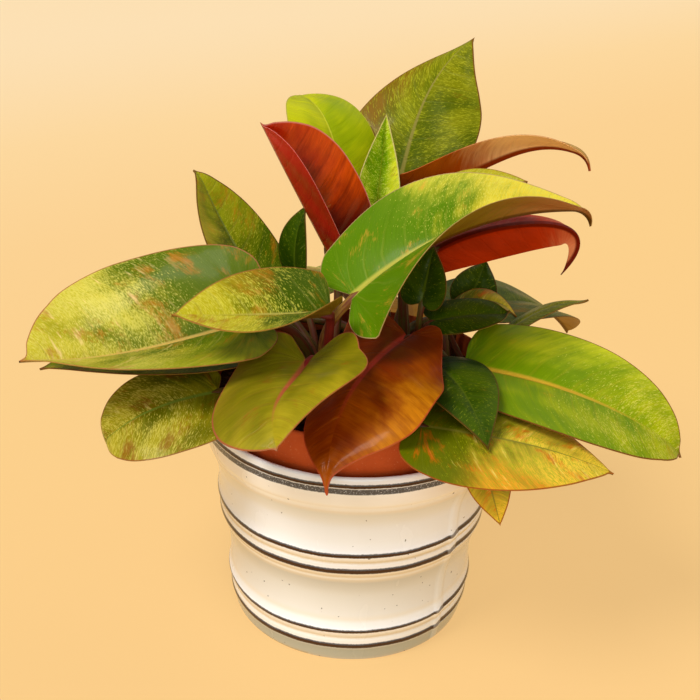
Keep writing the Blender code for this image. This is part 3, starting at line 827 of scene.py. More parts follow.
def spline(points: np.ndarray, t: np.ndarray) -> np.ndarray:
    """Smooth curve through points.

    Args:
        points: Points of the curve, one in each row.
        t: Shares of the curve's chord length.

    Returns:
        The curve's points at t.
    """
    s = np.r_[0, np.cumsum(np.linalg.norm(np.diff(points, axis=0), axis=1))]
    s /= s[-1]
    m = np.empty_like(points)
    m[1:-1] = (points[2:] - points[:-2]) / (s[2:] - s[:-2])[:, None]
    m[0] = (points[1] - points[0]) / (s[1] - s[0])
    m[-1] = (points[-1] - points[-2]) / (s[-1] - s[-2])
    i = np.clip(np.searchsorted(s, t, side="right") - 1, 0, len(points) - 2)
    h = (s[i + 1] - s[i])[:, None]
    u = (t - s[i])[:, None] / h
    return ((2 * u**3 - 3 * u**2 + 1) * points[i] + (u**3 - 2 * u**2 + u) * h * m[i]
            + (3 * u**2 - 2 * u**3) * points[i + 1] + (u**3 - u**2) * h * m[i + 1])


@dataclass
class Leaf:
    """One leaf, blade and stalk; lengths in mm, angles in degrees, triples at base, middle, tip."""

    node: str
    foot: Pair
    hinge: Triple
    tip: Triple
    width: float
    skin: Skin
    bow: Pair = (8, 10)
    sweep: Pair = (0, 0)
    reach: float = 0
    roll: Triple = (0, 0, 0)
    left: Triple = (10, 10, 10)
    lcurl: Triple = (-10, -10, -10)
    right: Triple = (10, 10, 10)
    rcurl: Triple = (-10, -10, -10)
    lean: Triple = (0, 0, 0)
    lobe: float = 1.0
    ears: float = 0
    belly: float = 1.0
    blunt: float = 0.0
    wave: Triple = (0, 2, 0)
    tail: float = 0
    stalk: Pair = (3.0, 2.2)
    knee: float = 0.35
    lift: float = 0.4
    rows: int = 110
    cols: int = 18
    seed: float = 0.0

    def midrib(self) -> tuple[np.ndarray, np.ndarray, np.ndarray, np.ndarray]:
        """Works out the midrib.

        Returns:
            Its points, directions, upper normals and arc lengths.
        """
        p0, p3 = np.array(self.hinge, float), np.array(self.tip, float)
        chord = unit(p3 - p0)
        up = np.array((0.0, 0.0, 1.0))
        n = turn(unit(up - np.dot(up, chord) * chord), chord, self.roll[1])
        b = np.cross(chord, n)
        k = 4 / 3
        p1 = p0 + (p3 - p0) / 3 + n * self.bow[0] * k + b * self.sweep[0] * k
        p2 = p0 + (p3 - p0) * 2 / 3 + n * self.bow[1] * k + b * self.sweep[1] * k + chord * self.reach
        t = np.linspace(0, 1, RIB_STEPS + 1)[:, None]
        c = (1 - t)**3 * p0 + 3 * (1 - t)**2 * t * p1 + 3 * (1 - t) * t**2 * p2 + t**3 * p3
        d = 3 * (1 - t)**2 * (p1 - p0) + 6 * (1 - t) * t * (p2 - p1) + 3 * t**2 * (p3 - p2)
        d /= np.linalg.norm(d, axis=1)[:, None]
        s = np.r_[0, np.cumsum(np.linalg.norm(np.diff(c, axis=0), axis=1))]
        normal = np.empty_like(c)
        mid = RIB_STEPS // 2
        normal[mid] = unit(n - np.dot(n, d[mid]) * d[mid])
        for i in range(mid + 1, RIB_STEPS + 1):
            normal[i] = unit(normal[i - 1] - np.dot(normal[i - 1], d[i]) * d[i])
        for i in range(mid - 1, -1, -1):
            normal[i] = unit(normal[i + 1] - np.dot(normal[i + 1], d[i]) * d[i])
        f = s / s[-1]
        extra = blend(self.roll, f) - self.roll[1]
        for i in range(RIB_STEPS + 1):
            normal[i] = turn(normal[i], d[i], extra[i])
        if self.tail:
            c = self.curl_tip(c, d, normal, f)
        return c, d, normal, s

    def curl_tip(self, c: np.ndarray, d: np.ndarray, normal: np.ndarray, f: np.ndarray) -> np.ndarray:
        """Bends the last part of the midrib; d and normal are changed in place.

        Args:
            c: Points of the midrib.
            d: Directions there.
            normal: Upper normals there.
            f: Shares of the length.

        Returns:
            The bent points.
        """
        start = int(np.searchsorted(f, TAIL_START))
        axis = np.cross(d[start], normal[start])
        bent = c.copy()
        for i in range(start + 1, RIB_STEPS + 1):
            angle = self.tail * (f[i] - TAIL_START) / (1 - TAIL_START)
            bent[i] = bent[i - 1] + turn(c[i] - c[i - 1], axis, angle)
            d[i] = turn(d[i], axis, angle)
            normal[i] = turn(normal[i], axis, angle)
        return bent

    def outline(self, v: np.ndarray, length: float) -> tuple[np.ndarray, np.ndarray, np.ndarray]:
        """Gives the flat margin and where its side veins leave the midrib.

        Args:
            v: Shares along the margin from base to tip.
            length: Length of the midrib in mm.

        Returns:
            The margin's places along and across the blade, and the veins' starts, in mm.
        """
        shape = np.array(POINTED) + (np.array(BLUNT) - np.array(POINTED)) * self.blunt
        o = spline(shape, v)
        along = np.where(o[:, 0] > 0, np.clip(o[:, 0], 0, 1)**self.belly, o[:, 0] * self.lobe) * length
        across = np.clip(o[:, 1], 0, None) * self.width
        start = along - VEIN_SLANT * across
        start = (start + np.hypot(start, VEIN_SOFT) - VEIN_SOFT * np.clip(1 - along / length, 0, 1)) / 2
        start = np.clip(start, 0, length)
        start[v <= 0] = 0
        start[v >= 1] = length
        return along, across, start

    def bend(self, flat: np.ndarray) -> dict[str, np.ndarray]:
        """Bends a flat slab into the blade.

        Args:
            flat: Points with x from -1 to 1 across, y from 0 to 1 along the margin, and z of 0
                on the upper and -1 on the lower face.

        Returns:
            The points in mm as "place", and "across", "rows", "along" and "edge" for the finish.
        """
        c, d, normal, s = self.midrib()
        length, half = s[-1], self.width / 2
        side = np.where(flat[:, 0] < 0, -1.0, 1.0)
        u = np.abs(flat[:, 0])
        v = np.clip(flat[:, 1], 0, 1)
        xe, ye, start = self.outline(v, length)
        x = (1 - u)**2 * start + 2 * (1 - u) * u * (start + VEIN_PULL[0] * (xe - start)) + u**2 * xe
        flat_y = 2 * (1 - u) * u * VEIN_PULL[1] * ye + u**2 * ye
        f = np.clip(x / length, 0, 1)
        y = flat_y * (1 - side * blend(self.lean, f))
        inside = np.clip(x, 0, length)

        def pick(values: np.ndarray) -> np.ndarray:
            """Values at the points' places along the midrib."""
            return np.stack([np.interp(inside, s, values[:, j]) for j in range(3)], -1)

        point, ahead, up = pick(c), pick(d), pick(normal)
        ahead /= np.linalg.norm(ahead, axis=1)[:, None]
        up -= (up * ahead).sum(1)[:, None] * ahead
        up /= np.linalg.norm(up, axis=1)[:, None]
        raised_base = turn(d[0], np.cross(d[0], normal[0]), -self.ears)
        point = point + np.minimum(x, 0)[:, None] * raised_base
        side_dir = np.cross(ahead, up)
        is_right = side > 0
        phi = np.radians(np.where(is_right, blend(self.right, f), blend(self.left, f)))
        k = np.radians(np.where(is_right, blend(self.rcurl, f), blend(self.lcurl, f))) / half
        k = np.where(np.abs(k) < 1e-6, 1e-6, k)
        angle = phi + k * y
        over = (np.sin(angle) - np.sin(phi)) / k
        rise = (np.cos(phi) - np.cos(angle)) / k
        height, count, begin = self.wave
        share = y / half
        wave = height * share**2 * np.sin(2 * np.pi * (count * f + begin + np.where(is_right, 0, 0.5)))
        sideways = side_dir * side[:, None]
        out = up * np.cos(angle)[:, None] - sideways * np.sin(angle)[:, None]
        soft = np.clip(y / RIB_SOFT, 0, 1)[:, None]
        facing = out * soft + up * (1 - soft)
        facing /= np.linalg.norm(facing, axis=1)[:, None]
        top = point + sideways * over[:, None] + up * rise[:, None] + out * wave[:, None]
        top = top + facing * self.relief(f, y, u, v, side)[:, None]
        depth = self.thickness(f, y, u)
        place = top + facing * (flat[:, 2] * depth)[:, None]
        reach = np.hypot(xe - start, ye)
        return {"place": place, "across": y * side, "rows": v * length * ROW_STRETCH, "along": f,
                "edge": (1 - u) * reach}

    def relief(self, f: np.ndarray, y: np.ndarray, u: np.ndarray, v: np.ndarray,
               side: np.ndarray) -> np.ndarray:
        """Fine form of both faces: the midrib's channel, side veins and gentle buckling.

        Args:
            f: Shares along the blade.
            y: Distances from the midrib in mm.
            u: Shares from midrib to margin.
            v: Shares along the margin.
            side: 1 on the right half and -1 on the left.

        Returns:
            Heights in mm.
        """
        fade = np.clip(1 - f, 0, 1)**0.5
        channel = -CHANNEL[0] * np.exp(-(y / CHANNEL[1])**2) * fade
        body = np.sin(np.pi * np.clip(u, 0, 1))**1.2 * np.clip(v * 6, 0, 1) * np.clip((1 - v) * 6, 0, 1)
        veins = SIDE_VEINS[0] * np.abs(np.sin(np.pi * (v * SIDE_VEINS[1] + 0.35 * side + self.seed))) * body
        buckle = BUCKLE[0] * np.sin(2 * np.pi * (1.7 * f + 0.6 * u + self.seed)) * body
        return channel + veins + buckle * self.width / BUCKLE[1]

    def thickness(self, f: np.ndarray, y: np.ndarray, u: np.ndarray) -> np.ndarray:
        """Thickness of the blade in mm, with the midrib's ridge under it.

        Args:
            f: Shares along the blade.
            y: Distances from the midrib in mm.
            u: Shares from midrib to margin.

        Returns:
            Thicknesses in mm.
        """
        ridge = RIDGE[0] * (1 - 0.75 * f) * np.exp(-(y / RIDGE[1])**2)
        return MARGIN_THICK + INNER_THICK * (1 - u) + ridge

    def stalk_curve(self) -> tuple[np.ndarray, np.ndarray]:
        """Gives the stalk's centre line.

        Returns:
            Points in mm from its foot to under the blade, and the radii there.
        """
        c, d, normal, _ = self.midrib()
        foot = np.array((*self.foot, STALK_FOOT_Z), float)
        soil = np.array((*self.foot, SOIL_TOP_Z + 2), float)
        end = np.array(self.hinge, float) - normal[0] * STALK_DROP
        span = np.linalg.norm(end - soil)
        p1 = soil + np.array((0, 0, 1.0)) * span * self.lift
        p2 = end - d[0] * span * self.knee
        t = np.linspace(0, 1, 25)[:, None]
        curve = (1 - t)**3 * soil + 3 * (1 - t)**2 * t * p1 + 3 * (1 - t) * t**2 * p2 + t**3 * end
        low, high = self.stalk
        radii = low + (high - low) * t[:, 0] + 0.35 * np.exp(-((1 - t[:, 0]) / 0.06)**2)
        points = np.vstack((foot, curve, end + d[0] * STALK_SUNK * 0.6, end + d[0] * STALK_SUNK))
        return points, np.r_[low, radii, high * 0.7, high * 0.3]


def slab(rows: int, cols: int) -> bpy.types.Mesh:
    """Makes a closed flat slab for a blade.

    Args:
        rows: Steps along the blade.
        cols: Steps across each half.

    Returns:
        A mesh with x from -1 to 1, y from 0 to 1 and z of 0 or -1.
    """
    bm = bmesh.new()
    bmesh.ops.create_grid(bm, x_segments=2 * cols, y_segments=rows, size=1.0)
    placing = Matrix.Translation((0, 0.5, 0)) @ Matrix.Diagonal((1, 0.5, 1, 1))
    bmesh.ops.transform(bm, verts=bm.verts, matrix=placing)
    grown = bmesh.ops.extrude_face_region(bm, geom=bm.faces[:])
    lower = [item for item in grown["geom"] if isinstance(item, bmesh.types.BMVert)]
    bmesh.ops.translate(bm, verts=lower, vec=(0, 0, -1))
    bmesh.ops.recalc_face_normals(bm, faces=bm.faces)
    return finish_mesh(bm, "slab")


def finish_mesh(bm: bmesh.types.BMesh, name: str) -> bpy.types.Mesh:
    """Turns a bmesh into a mesh and frees it.

    Args:
        bm: Bmesh to turn.
        name: Name of the mesh.

    Returns:
        The mesh.
    """
    mesh = bpy.data.meshes.new(name)
    bm.to_mesh(mesh)
    bm.free()
    return mesh


def read_points(mesh: bpy.types.Mesh) -> np.ndarray:
    """Reads the points of a mesh.

    Args:
        mesh: Mesh to read.

    Returns:
        One row of x, y and z for each point.
    """
    flat = np.empty(len(mesh.vertices) * 3, np.float32)
    mesh.vertices.foreach_get("co", flat)
    return flat.reshape(-1, 3).astype(float)


def write_points(mesh: bpy.types.Mesh, points: np.ndarray) -> None:
    """Moves the points of a mesh to places given in mm."""
    mesh.vertices.foreach_set("co", (points * MM).astype(np.float32).ravel())
    mesh.update()


def write_uv(mesh: bpy.types.Mesh, name: str, u: np.ndarray, v: np.ndarray) -> None:
    """Adds a UV map from one pair of values for each point.

    Args:
        mesh: Mesh to change.
        name: Name of the map.
        u: First value for each point.
        v: Second value for each point.
    """
    corners = np.empty(len(mesh.loops), np.int32)
    mesh.loops.foreach_get("vertex_index", corners)
    layer = mesh.uv_layers.new(name=name)
    layer.data.foreach_set("uv", np.stack((u, v), -1)[corners].astype(np.float32).ravel())


def write_value(mesh: bpy.types.Mesh, name: str, values: np.ndarray) -> None:
    """Adds a number to each point of a mesh."""
    layer = mesh.attributes.new(name, "FLOAT", "POINT")
    layer.data.foreach_set("value", np.asarray(values, np.float32))


def weld(mesh: bpy.types.Mesh, distance: float) -> None:
    """Joins points that lie together and closes what that leaves.

    Args:
        mesh: Mesh to change.
        distance: How near the points lie, in mm.
    """
    bm = bmesh.new()
    bm.from_mesh(mesh)
    bmesh.ops.remove_doubles(bm, verts=bm.verts, dist=distance * MM)
    bmesh.ops.dissolve_degenerate(bm, edges=bm.edges, dist=distance * MM)
    bm.to_mesh(mesh)
    bm.free()


def make_object(name: str, mesh: bpy.types.Mesh, material: bpy.types.Material) -> bpy.types.Object:
    """Links a mesh into the scene, shaded smooth.

    Args:
        name: Name of the piece.
        mesh: Its mesh.
        material: Its material.

    Returns:
        The new object.
    """
    mesh.name = name
    mesh.materials.clear()
    mesh.materials.append(material)
    mesh.shade_smooth()
    mesh.set_sharp_from_angle(angle=math.radians(SHARP_ANGLE))
    made = bpy.data.objects.new(name, mesh)
    bpy.context.scene.collection.objects.link(made)
    return made


def join(objects: Sequence[bpy.types.Object]) -> bpy.types.Object:
    """Joins objects into the first of them.

    Args:
        objects: Objects to join.

    Returns:
        The first one, with all their meshes.
    """
    with bpy.context.temp_override(active_object=objects[0], selected_editable_objects=list(objects)):
        bpy.ops.object.join()
    return objects[0]


def tube(name: str, points: np.ndarray, radii: np.ndarray, sides: int,
         groove: float = 0.0) -> bpy.types.Mesh:
    """Makes a closed tube along a line.

    Args:
        name: Name of the mesh.
        points: Points of the line in mm.
        radii: Radius at each point in mm.
        sides: Steps round the tube.
        groove: Depth of a channel on one side, as a share of the radius.

    Returns:
        The mesh, with a UV map of turns round and decimetres along.
    """
    bm = bmesh.new()
    bmesh.ops.create_grid(bm, x_segments=sides, y_segments=len(points) - 1, size=1.0)
    mesh = finish_mesh(bm, name)
    flat = read_points(mesh)
    around = (flat[:, 0] + 1) / 2
    row = np.rint((flat[:, 1] + 1) / 2 * (len(points) - 1)).astype(int)
    direction = np.gradient(points, axis=0)
    direction[:2] = (0, 0, 1)
    direction /= np.linalg.norm(direction, axis=1)[:, None]
    first = np.empty_like(points)
    across = np.array((1.0, 0.0, 0.0))
    for i, ahead in enumerate(direction):
        across = unit(across - np.dot(across, ahead) * ahead)
        first[i] = across
    second = np.cross(direction, first)
    angle = 2 * np.pi * around
    swell = 1 - groove * np.exp(-((np.cos(angle) - 1) / 0.08)**2)
    ring = first[row] * np.cos(angle)[:, None] + second[row] * np.sin(angle)[:, None]
    places = points[row] + ring * (radii[row] * swell)[:, None]
    lengths = np.r_[0, np.cumsum(np.linalg.norm(np.diff(points, axis=0), axis=1))]
    write_uv(mesh, "vein", around, lengths[row] / UV_LENGTH)
    write_points(mesh, places)
    bm = bmesh.new()
    bm.from_mesh(mesh)
    bmesh.ops.remove_doubles(bm, verts=bm.verts, dist=0.01 * MM)
    bmesh.ops.holes_fill(bm, edges=[edge for edge in bm.edges if edge.is_boundary], sides=sides + 1)
    bmesh.ops.recalc_face_normals(bm, faces=bm.faces)
    bm.to_mesh(mesh)
    bm.free()
    return mesh


@dataclass
class Plant:
    """All leaves, each with its blade and stalk in one piece."""

    leaves: Sequence[Leaf]
    slabs: dict[tuple[int, int], bpy.types.Mesh] = field(default_factory=dict)

    def blade(self, leaf: Leaf) -> bpy.types.Object:
        """Builds one blade.

        Args:
            leaf: Leaf to build.

        Returns:
            The blade's object.
        """
        key = (leaf.rows, leaf.cols)
        if key not in self.slabs:
            self.slabs[key] = slab(*key)
        mesh = self.slabs[key].copy()
        flat = read_points(mesh)
        bent = leaf.bend(flat)
        write_uv(mesh, "vein", 0.5 + bent["across"] / UV_WIDTH, bent["rows"] / UV_LENGTH)
        write_value(mesh, "along", bent["along"])
        write_value(mesh, "edge", bent["edge"])
        write_value(mesh, "under", np.where(flat[:, 2] < -0.5, 1.0, 0.0))
        write_points(mesh, bent["place"])
        weld(mesh, 0.004)
        return make_object(leaf.node.replace("leaf_", "") + "_leaf", mesh, leaf.skin.blade(leaf.seed))

    def stem(self, leaf: Leaf) -> bpy.types.Object:
        """Builds one stalk.

        Args:
            leaf: Leaf to build.

        Returns:
            The stalk's object.
        """
        points, radii = leaf.stalk_curve()
        mesh = tube("stalk", points, radii, 16, groove=0.16)
        return make_object("stalk", mesh, leaf.skin.stem(leaf.seed))

    def build(self) -> list[bpy.types.Object]:
        """Builds every leaf and lets it stand for its solid.

        Returns:
            The leaves' objects.
        """
        made = []
        for leaf in self.leaves:
            piece = join([self.blade(leaf), self.stem(leaf)])
            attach(piece, BODY)
            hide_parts(leaf.node)
            made.append(piece)
            LOG.info("%s: %d faces", piece.name, len(piece.data.polygons))
        for mesh in self.slabs.values():
            bpy.data.meshes.remove(mesh)
        return made


SMALL = (2.2, 1.6)
FEW = {"rows": 56, "cols": 10}

LEAVES = (
    Leaf("leaf_far_left", (-21, -10), (-52, -25, 176), (-161, -51, 163), 90, GOLD_FLECKED,
         bow=(-4, -11), roll=(-18, -20, -14), left=(18, 34, 40), lcurl=(-5, 0, 0), right=(55, 44, 20),
         rcurl=(-40, -35, -10), lobe=0.9, blunt=1.5, belly=0.97, tail=-15, lean=(-0.02, -0.06, 0.05),
         seed=0.1),
    Leaf("leaf_left_pointed", (-15, -27), (-13, -42, 190), (-84, -66, 196), 54, LEMON_FLECKED,
         knee=0.02, lift=0.5, bow=(-1, 0), roll=(-8, -8, -8), left=(50, 14, 0), lcurl=(0, 0, 0),
         right=(38, 35, 20), rcurl=(-30, -20, 0), lobe=0.2, blunt=0.2, seed=1.3),
    Leaf("leaf_upper_left", (-20, -3), (-52, 22, 177), (-88, 40, 233), 54, SUNNY_GREEN,
         bow=(-4, -2), lobe=0.8, blunt=0.2, tail=-30, lcurl=(0, 0, 0), rcurl=(0, 0, 0), seed=2.2),
    Leaf("leaf_low_left", (-25, -21), (-66, -49, 149), (-121, -69, 126), 57, DUSKY_FLECKED,
         bow=(6, 10), roll=(-17, -17, -17), left=(0, 0, 0), lcurl=(-15, -20, -20), right=(-8, -6, 2),
         rcurl=(-5, 0, 0), lobe=0.8, blunt=1, tail=-70, seed=3.4),
    Leaf("leaf_under_left", (-29, -10), (-60, -12, 155), (-159, -28, 146), 58, BUSH_GREEN,
         bow=(2, 4), roll=(-10, -10, -5), left=(18, 16, 8), right=(5, 5, 5), seed=4.7),
    Leaf("leaf_front_left", (-21, -31), (-23, -52, 168), (-32, -110, 153), 74, OLIVE,
         bow=(0, 9), sweep=(3, 8), roll=(0, 5, 10), left=(35, 27, 20), lcurl=(-10, -10, -5),
         right=(8, -3, -10), rcurl=(-20, -20, -10), lobe=1.9, belly=0.85, blunt=0.5, ears=15,
         lean=(0, 0.1, -0.4), seed=5.1),
    Leaf("leaf_front_bronze", (14, -22), (25, -18, 168), (-11, -101, 125), 66, BRONZE,
         bow=(14, 16), sweep=(3, 7), lean=(-0.28, 0.34, -0.1), roll=(5, 5, 0), left=(20, 0, -5),
         lcurl=(-50, 0, 0), right=(12, -15, -1), rcurl=(-20, -10, -10), lobe=0.7, blunt=-0.9,
         belly=0.5, wave=(3, 1.5, 0), tail=-20, ears=30, seed=6.3),
    Leaf("leaf_centre", (-14, -20), (-3, -28, 193), (119, 8, 229), 74, LIME,
         knee=0.55, bow=(18, 17), roll=(20, 12, 5), right=(12, 51, 12), rcurl=(-25, -6, -5), lobe=0.6,
         tail=-60, left=(12, 18, 13), blunt=-0.4, lean=(-0.03, 0.06, 0), belly=0.75, seed=7.9),
    Leaf("leaf_right_curved", (26, 29), (20, 47, 224), (121, 42, 243), 38, RUST_UNDER,
         knee=0.1, bow=(-5, 24), roll=(-10, -10, -5), left=(0, 0, 24), lcurl=(0, 0, 0),
         right=(35, 42, 0), rcurl=(0, 0, 0), lobe=0.3, belly=0.9, tail=-45, seed=8.2),
    Leaf("leaf_right_folded", (47, 8), (36, 20, 199), (105, 26, 187), 42, SCARLET_UNDER,
         bow=(0, 0), sweep=(18, 33), reach=50, roll=(-95, -95, -95), left=(0, 0, 0),
         lcurl=(20, 20, 20), right=(94, 93, 100), rcurl=(0, 0, 0), knee=0.08, lean=(-0.2, -0.12, -0.2),
         seed=9.6),
    Leaf("leaf_top", (15, 40), (18, 66, 217), (55, 84, 297), 70, DEEP_GREEN,
         bow=(-3, -3), sweep=(-5, -12), roll=(60, 60, 55), left=(0, -30, -75), lcurl=(0, -10, 0),
         right=(5, 12, 12), rcurl=(0, 0, 0), lean=(0.05, -0.08, -0.65), belly=0.9, seed=10.5),
    Leaf("leaf_top_left", (0, 26), (-8, 48, 207), (-39, 100, 259), 52, PALE_LIME,
         bow=(10, 22), lcurl=(-20, -20, -20), rcurl=(-20, -20, -20), blunt=0.8, seed=11.8),
    Leaf("leaf_red_upright", (-13, 5), (-16, 21, 194), (-52, 17, 264), 57, RED,
         lean=(-0.12, -0.12, -0.12), bow=(-1, -1), roll=(-70, -70, -70), left=(97, 100, 105),
         lcurl=(0, 0, 0), right=(15, 15, 15), lobe=0.05, blunt=1, belly=0.9, seed=12.1),
    Leaf("leaf_spear", (8, 14), (6, 44, 198), (10, 46, 264), 42, SPEAR,
         bow=(-2, -2), roll=(62, 62, 62), left=(55, 55, 55), lcurl=(0, 0, 0), right=(55, 55, 55),
         rcurl=(0, 0, 0), lobe=0.3, seed=13.7),
    Leaf("leaf_small_back", (-21, 9), (-35, 26, 183), (-30, 30, 218), 26, SHADOW_GREEN,
         bow=(3, 3), lobe=0.5, stalk=SMALL, seed=14.2, **FEW),
    Leaf("leaf_right_large", (57, -14), (55, -14, 151), (163, -52, 126), 76, LIME_WIDE,
         bow=(10, 14), roll=(20, 20, 20), left=(4, 4, 4), right=(28, 20, 18), lobe=0.3, blunt=0.9,
         tail=-25, seed=15.6),
    Leaf("leaf_right_low", (47, -24), (32, -72, 148), (122, -80, 131), 66, AMBER,
         bow=(3, 6), roll=(12, 12, 10), left=(-11, -8, -12), lcurl=(0, 0, 0), right=(0, 0, 5),
         lobe=0.9, blunt=0.3, seed=16.3),
    Leaf("leaf_front_small", (38, -17), (38, -24, 157), (62, -89, 146), 42, SHADOW_GREEN,
         bow=(8, 10), left=(5, 5, 5), right=(5, 5, 5), seed=17.8),
    Leaf("leaf_right_hanging", (57, -28), (58, -63, 138), (73, -74, 95), 25, AMBER,
         lift=0.45, bow=(3, 3), lobe=0.3, roll=(0, 40, 60), stalk=SMALL, seed=18.4, **FEW),
    Leaf("leaf_inner_right", (52, 43), (60, 44, 161), (68, 48, 185), 26, SHADOW_GREEN,
         bow=(0, 0), roll=(60, 60, 60), stalk=SMALL, seed=19.5, **FEW),
    Leaf("leaf_right_tip", (60, -1), (78, 21, 155), (121, 24, 173), 24, FRESH_GREEN,
         bow=(4, 6), left=(-10, -10, -10), tail=30, stalk=SMALL, seed=20.6, **FEW),
    Leaf("leaf_inner_cup", (53, -6), (37, -6, 172), (77, -2, 175), 30, SHADOW_GREEN,
         bow=(2, 2), roll=(5, 5, 0), left=(10, 10, 20), right=(0, 0, 10), blunt=1, tail=60, lobe=0.7,
         stalk=SMALL, seed=21.7, **FEW),
    Leaf("leaf_inner_yellow", (57, 8), (49, 26, 159), (85, 28, 161), 24, AMBER,
         bow=(10, 12), roll=(10, 10, 10), stalk=SMALL, seed=22.8, **FEW),
    Leaf("leaf_inner_dark", (32, 6), (31, -8, 182), (36, 0, 210), 26, SHADOW_GREEN,
         bow=(0, 0), lobe=0.8, stalk=SMALL, seed=23.9, **FEW),
    Leaf("leaf_behind_centre", (25, 20), (30, 19, 210), (83, 26, 237), 44, FRESH_GREEN,
         bow=(8, 12), roll=(10, 10, 10), left=(5, 5, 5), right=(5, 5, 5), lcurl=(0, 0, 0),
         rcurl=(0, 0, 0), seed=24.5),
    Leaf("leaf_back_left", (1, 34), (-48, 44, 151), (-128, 98, 112), 70, LIME_WIDE,
         bow=(8, 14), blunt=0.5, seed=25.3),
    Leaf("leaf_back_middle", (7, 39), (-10, 66, 158), (-40, 146, 124), 60, GOLD_FLECKED,
         bow=(10, 14), blunt=0.2, tail=-30, seed=26.2),
    Leaf("leaf_back_right", (23, 37), (62, 57, 152), (128, 106, 118), 70, BUSH_GREEN,
         bow=(10, 14), blunt=0.4, seed=27.4),
    Leaf("leaf_back_low", (21, 47), (26, 76, 148), (34, 142, 88), 48, BUSH_GREEN,
         bow=(8, 10), blunt=0.2, seed=28.6),
    Leaf("leaf_right_back", (69, -5), (88, -2, 151), (150, 8, 96), 36, FRESH_GREEN,
         bow=(8, 8), blunt=0.2, seed=29.7),
)


# Pots, soil and stems

def turned(name: str, profile: Sequence[Pair], steps: int) -> bpy.types.Mesh:
    """Spins a profile round the vertical axis.

    Args:
        name: Name of the mesh.
        profile: Radius and height in mm, from the base's centre round to the inside's centre.
        steps: Steps round the axis.

    Returns:
        The closed mesh.
    """
    bm = bmesh.new()
    verts = [bm.verts.new((r * MM, 0, z * MM)) for r, z in profile]
    edges = [bm.edges.new(pair) for pair in zip(verts[:-1], verts[1:])]
    bmesh.ops.spin(bm, geom=verts + edges, cent=(0, 0, 0), axis=(0, 0, 1), dvec=(0, 0, 0),
                   angle=math.tau, steps=steps, use_merge=True, use_duplicate=False)
    bmesh.ops.remove_doubles(bm, verts=bm.verts, dist=0.01 * MM)
    bmesh.ops.recalc_face_normals(bm, faces=bm.faces)
    return finish_mesh(bm, name)


def rounded(points: Sequence[Pair], count: int) -> list[Pair]:
    """Puts a smooth curve of count points through the points of a profile."""
    curve = spline(np.array(points, float), np.linspace(0, 1, count))
    return [(max(float(r), 0.0), float(z)) for r, z in curve]


# Brown lines of the outer pot: height of the middle, thickness
LINES = ((10.4, 1.9), (20.8, 1.4), (61.9, 2.0), (71.9, 1.5), (116.6, 1.3))
LINE_BROWN = (62, 30, 12)
HALO_BLUE = (26, 28, 42)
HALO_RISE = 0.35         # how far above its line a halo's middle lies
GREY_BAND = ((112.0, 112.6), (115.9, 115.2))     # heights over which the band fades in and out
SPECKLE = ((0.0, (8, 10, 20)), (0.52, (20, 24, 38)), (0.60, (62, 68, 82)), (0.72, (206, 208, 212)))
BACK_FADE = (2.44, 2.36)     # angles, in radians, where the lines' jog fades at the back

# Unevenness of the thrown wall: height in mm, waves round the pot, turn in degrees
THROWN = ((0.25, 2, 40), (0.15, 5, 0))

# Heights and radii of a line inside the wall, between its outer and inner face
WALL_MIDDLE = ((0, 121), (60, 77.6))
FOOT = (62, 2)           # radius and height of the foot, which stays round

# Ground colours of the outer pot by height in mm
GLAZE_BANDS = (
    (0.0, (200, 188, 164)), (2.5, (180, 178, 158)), (8.0, (174, 174, 156)), (12.0, (252, 250, 246)),
    (15.2, (250, 246, 236)), (16.6, (226, 204, 168)), (17.8, (242, 234, 214)), (19.2, (252, 250, 246)),
    (22.4, (254, 252, 250)), (26.0, (252, 250, 244)), (28.2, (244, 236, 220)), (31.0, (240, 236, 226)),
    (44.0, (228, 224, 212)), (53.0, (206, 202, 188)), (55.6, (230, 218, 196)), (56.8, (242, 234, 216)),
    (58.2, (226, 206, 172)), (59.6, (242, 232, 212)), (63.2, (254, 252, 250)), (66.2, (250, 246, 240)),
    (67.6, (224, 200, 158)), (69.0, (246, 240, 226)), (70.2, (252, 250, 246)), (74.0, (254, 252, 250)),
    (78.0, (250, 250, 248)), (88.0, (242, 242, 240)), (98.0, (226, 224, 214)), (100.6, (236, 226, 206)),
    (103.0, (248, 242, 228)), (109.0, (248, 240, 226)), (118.4, (250, 248, 244)),
    (121.0, (252, 250, 246)),
)


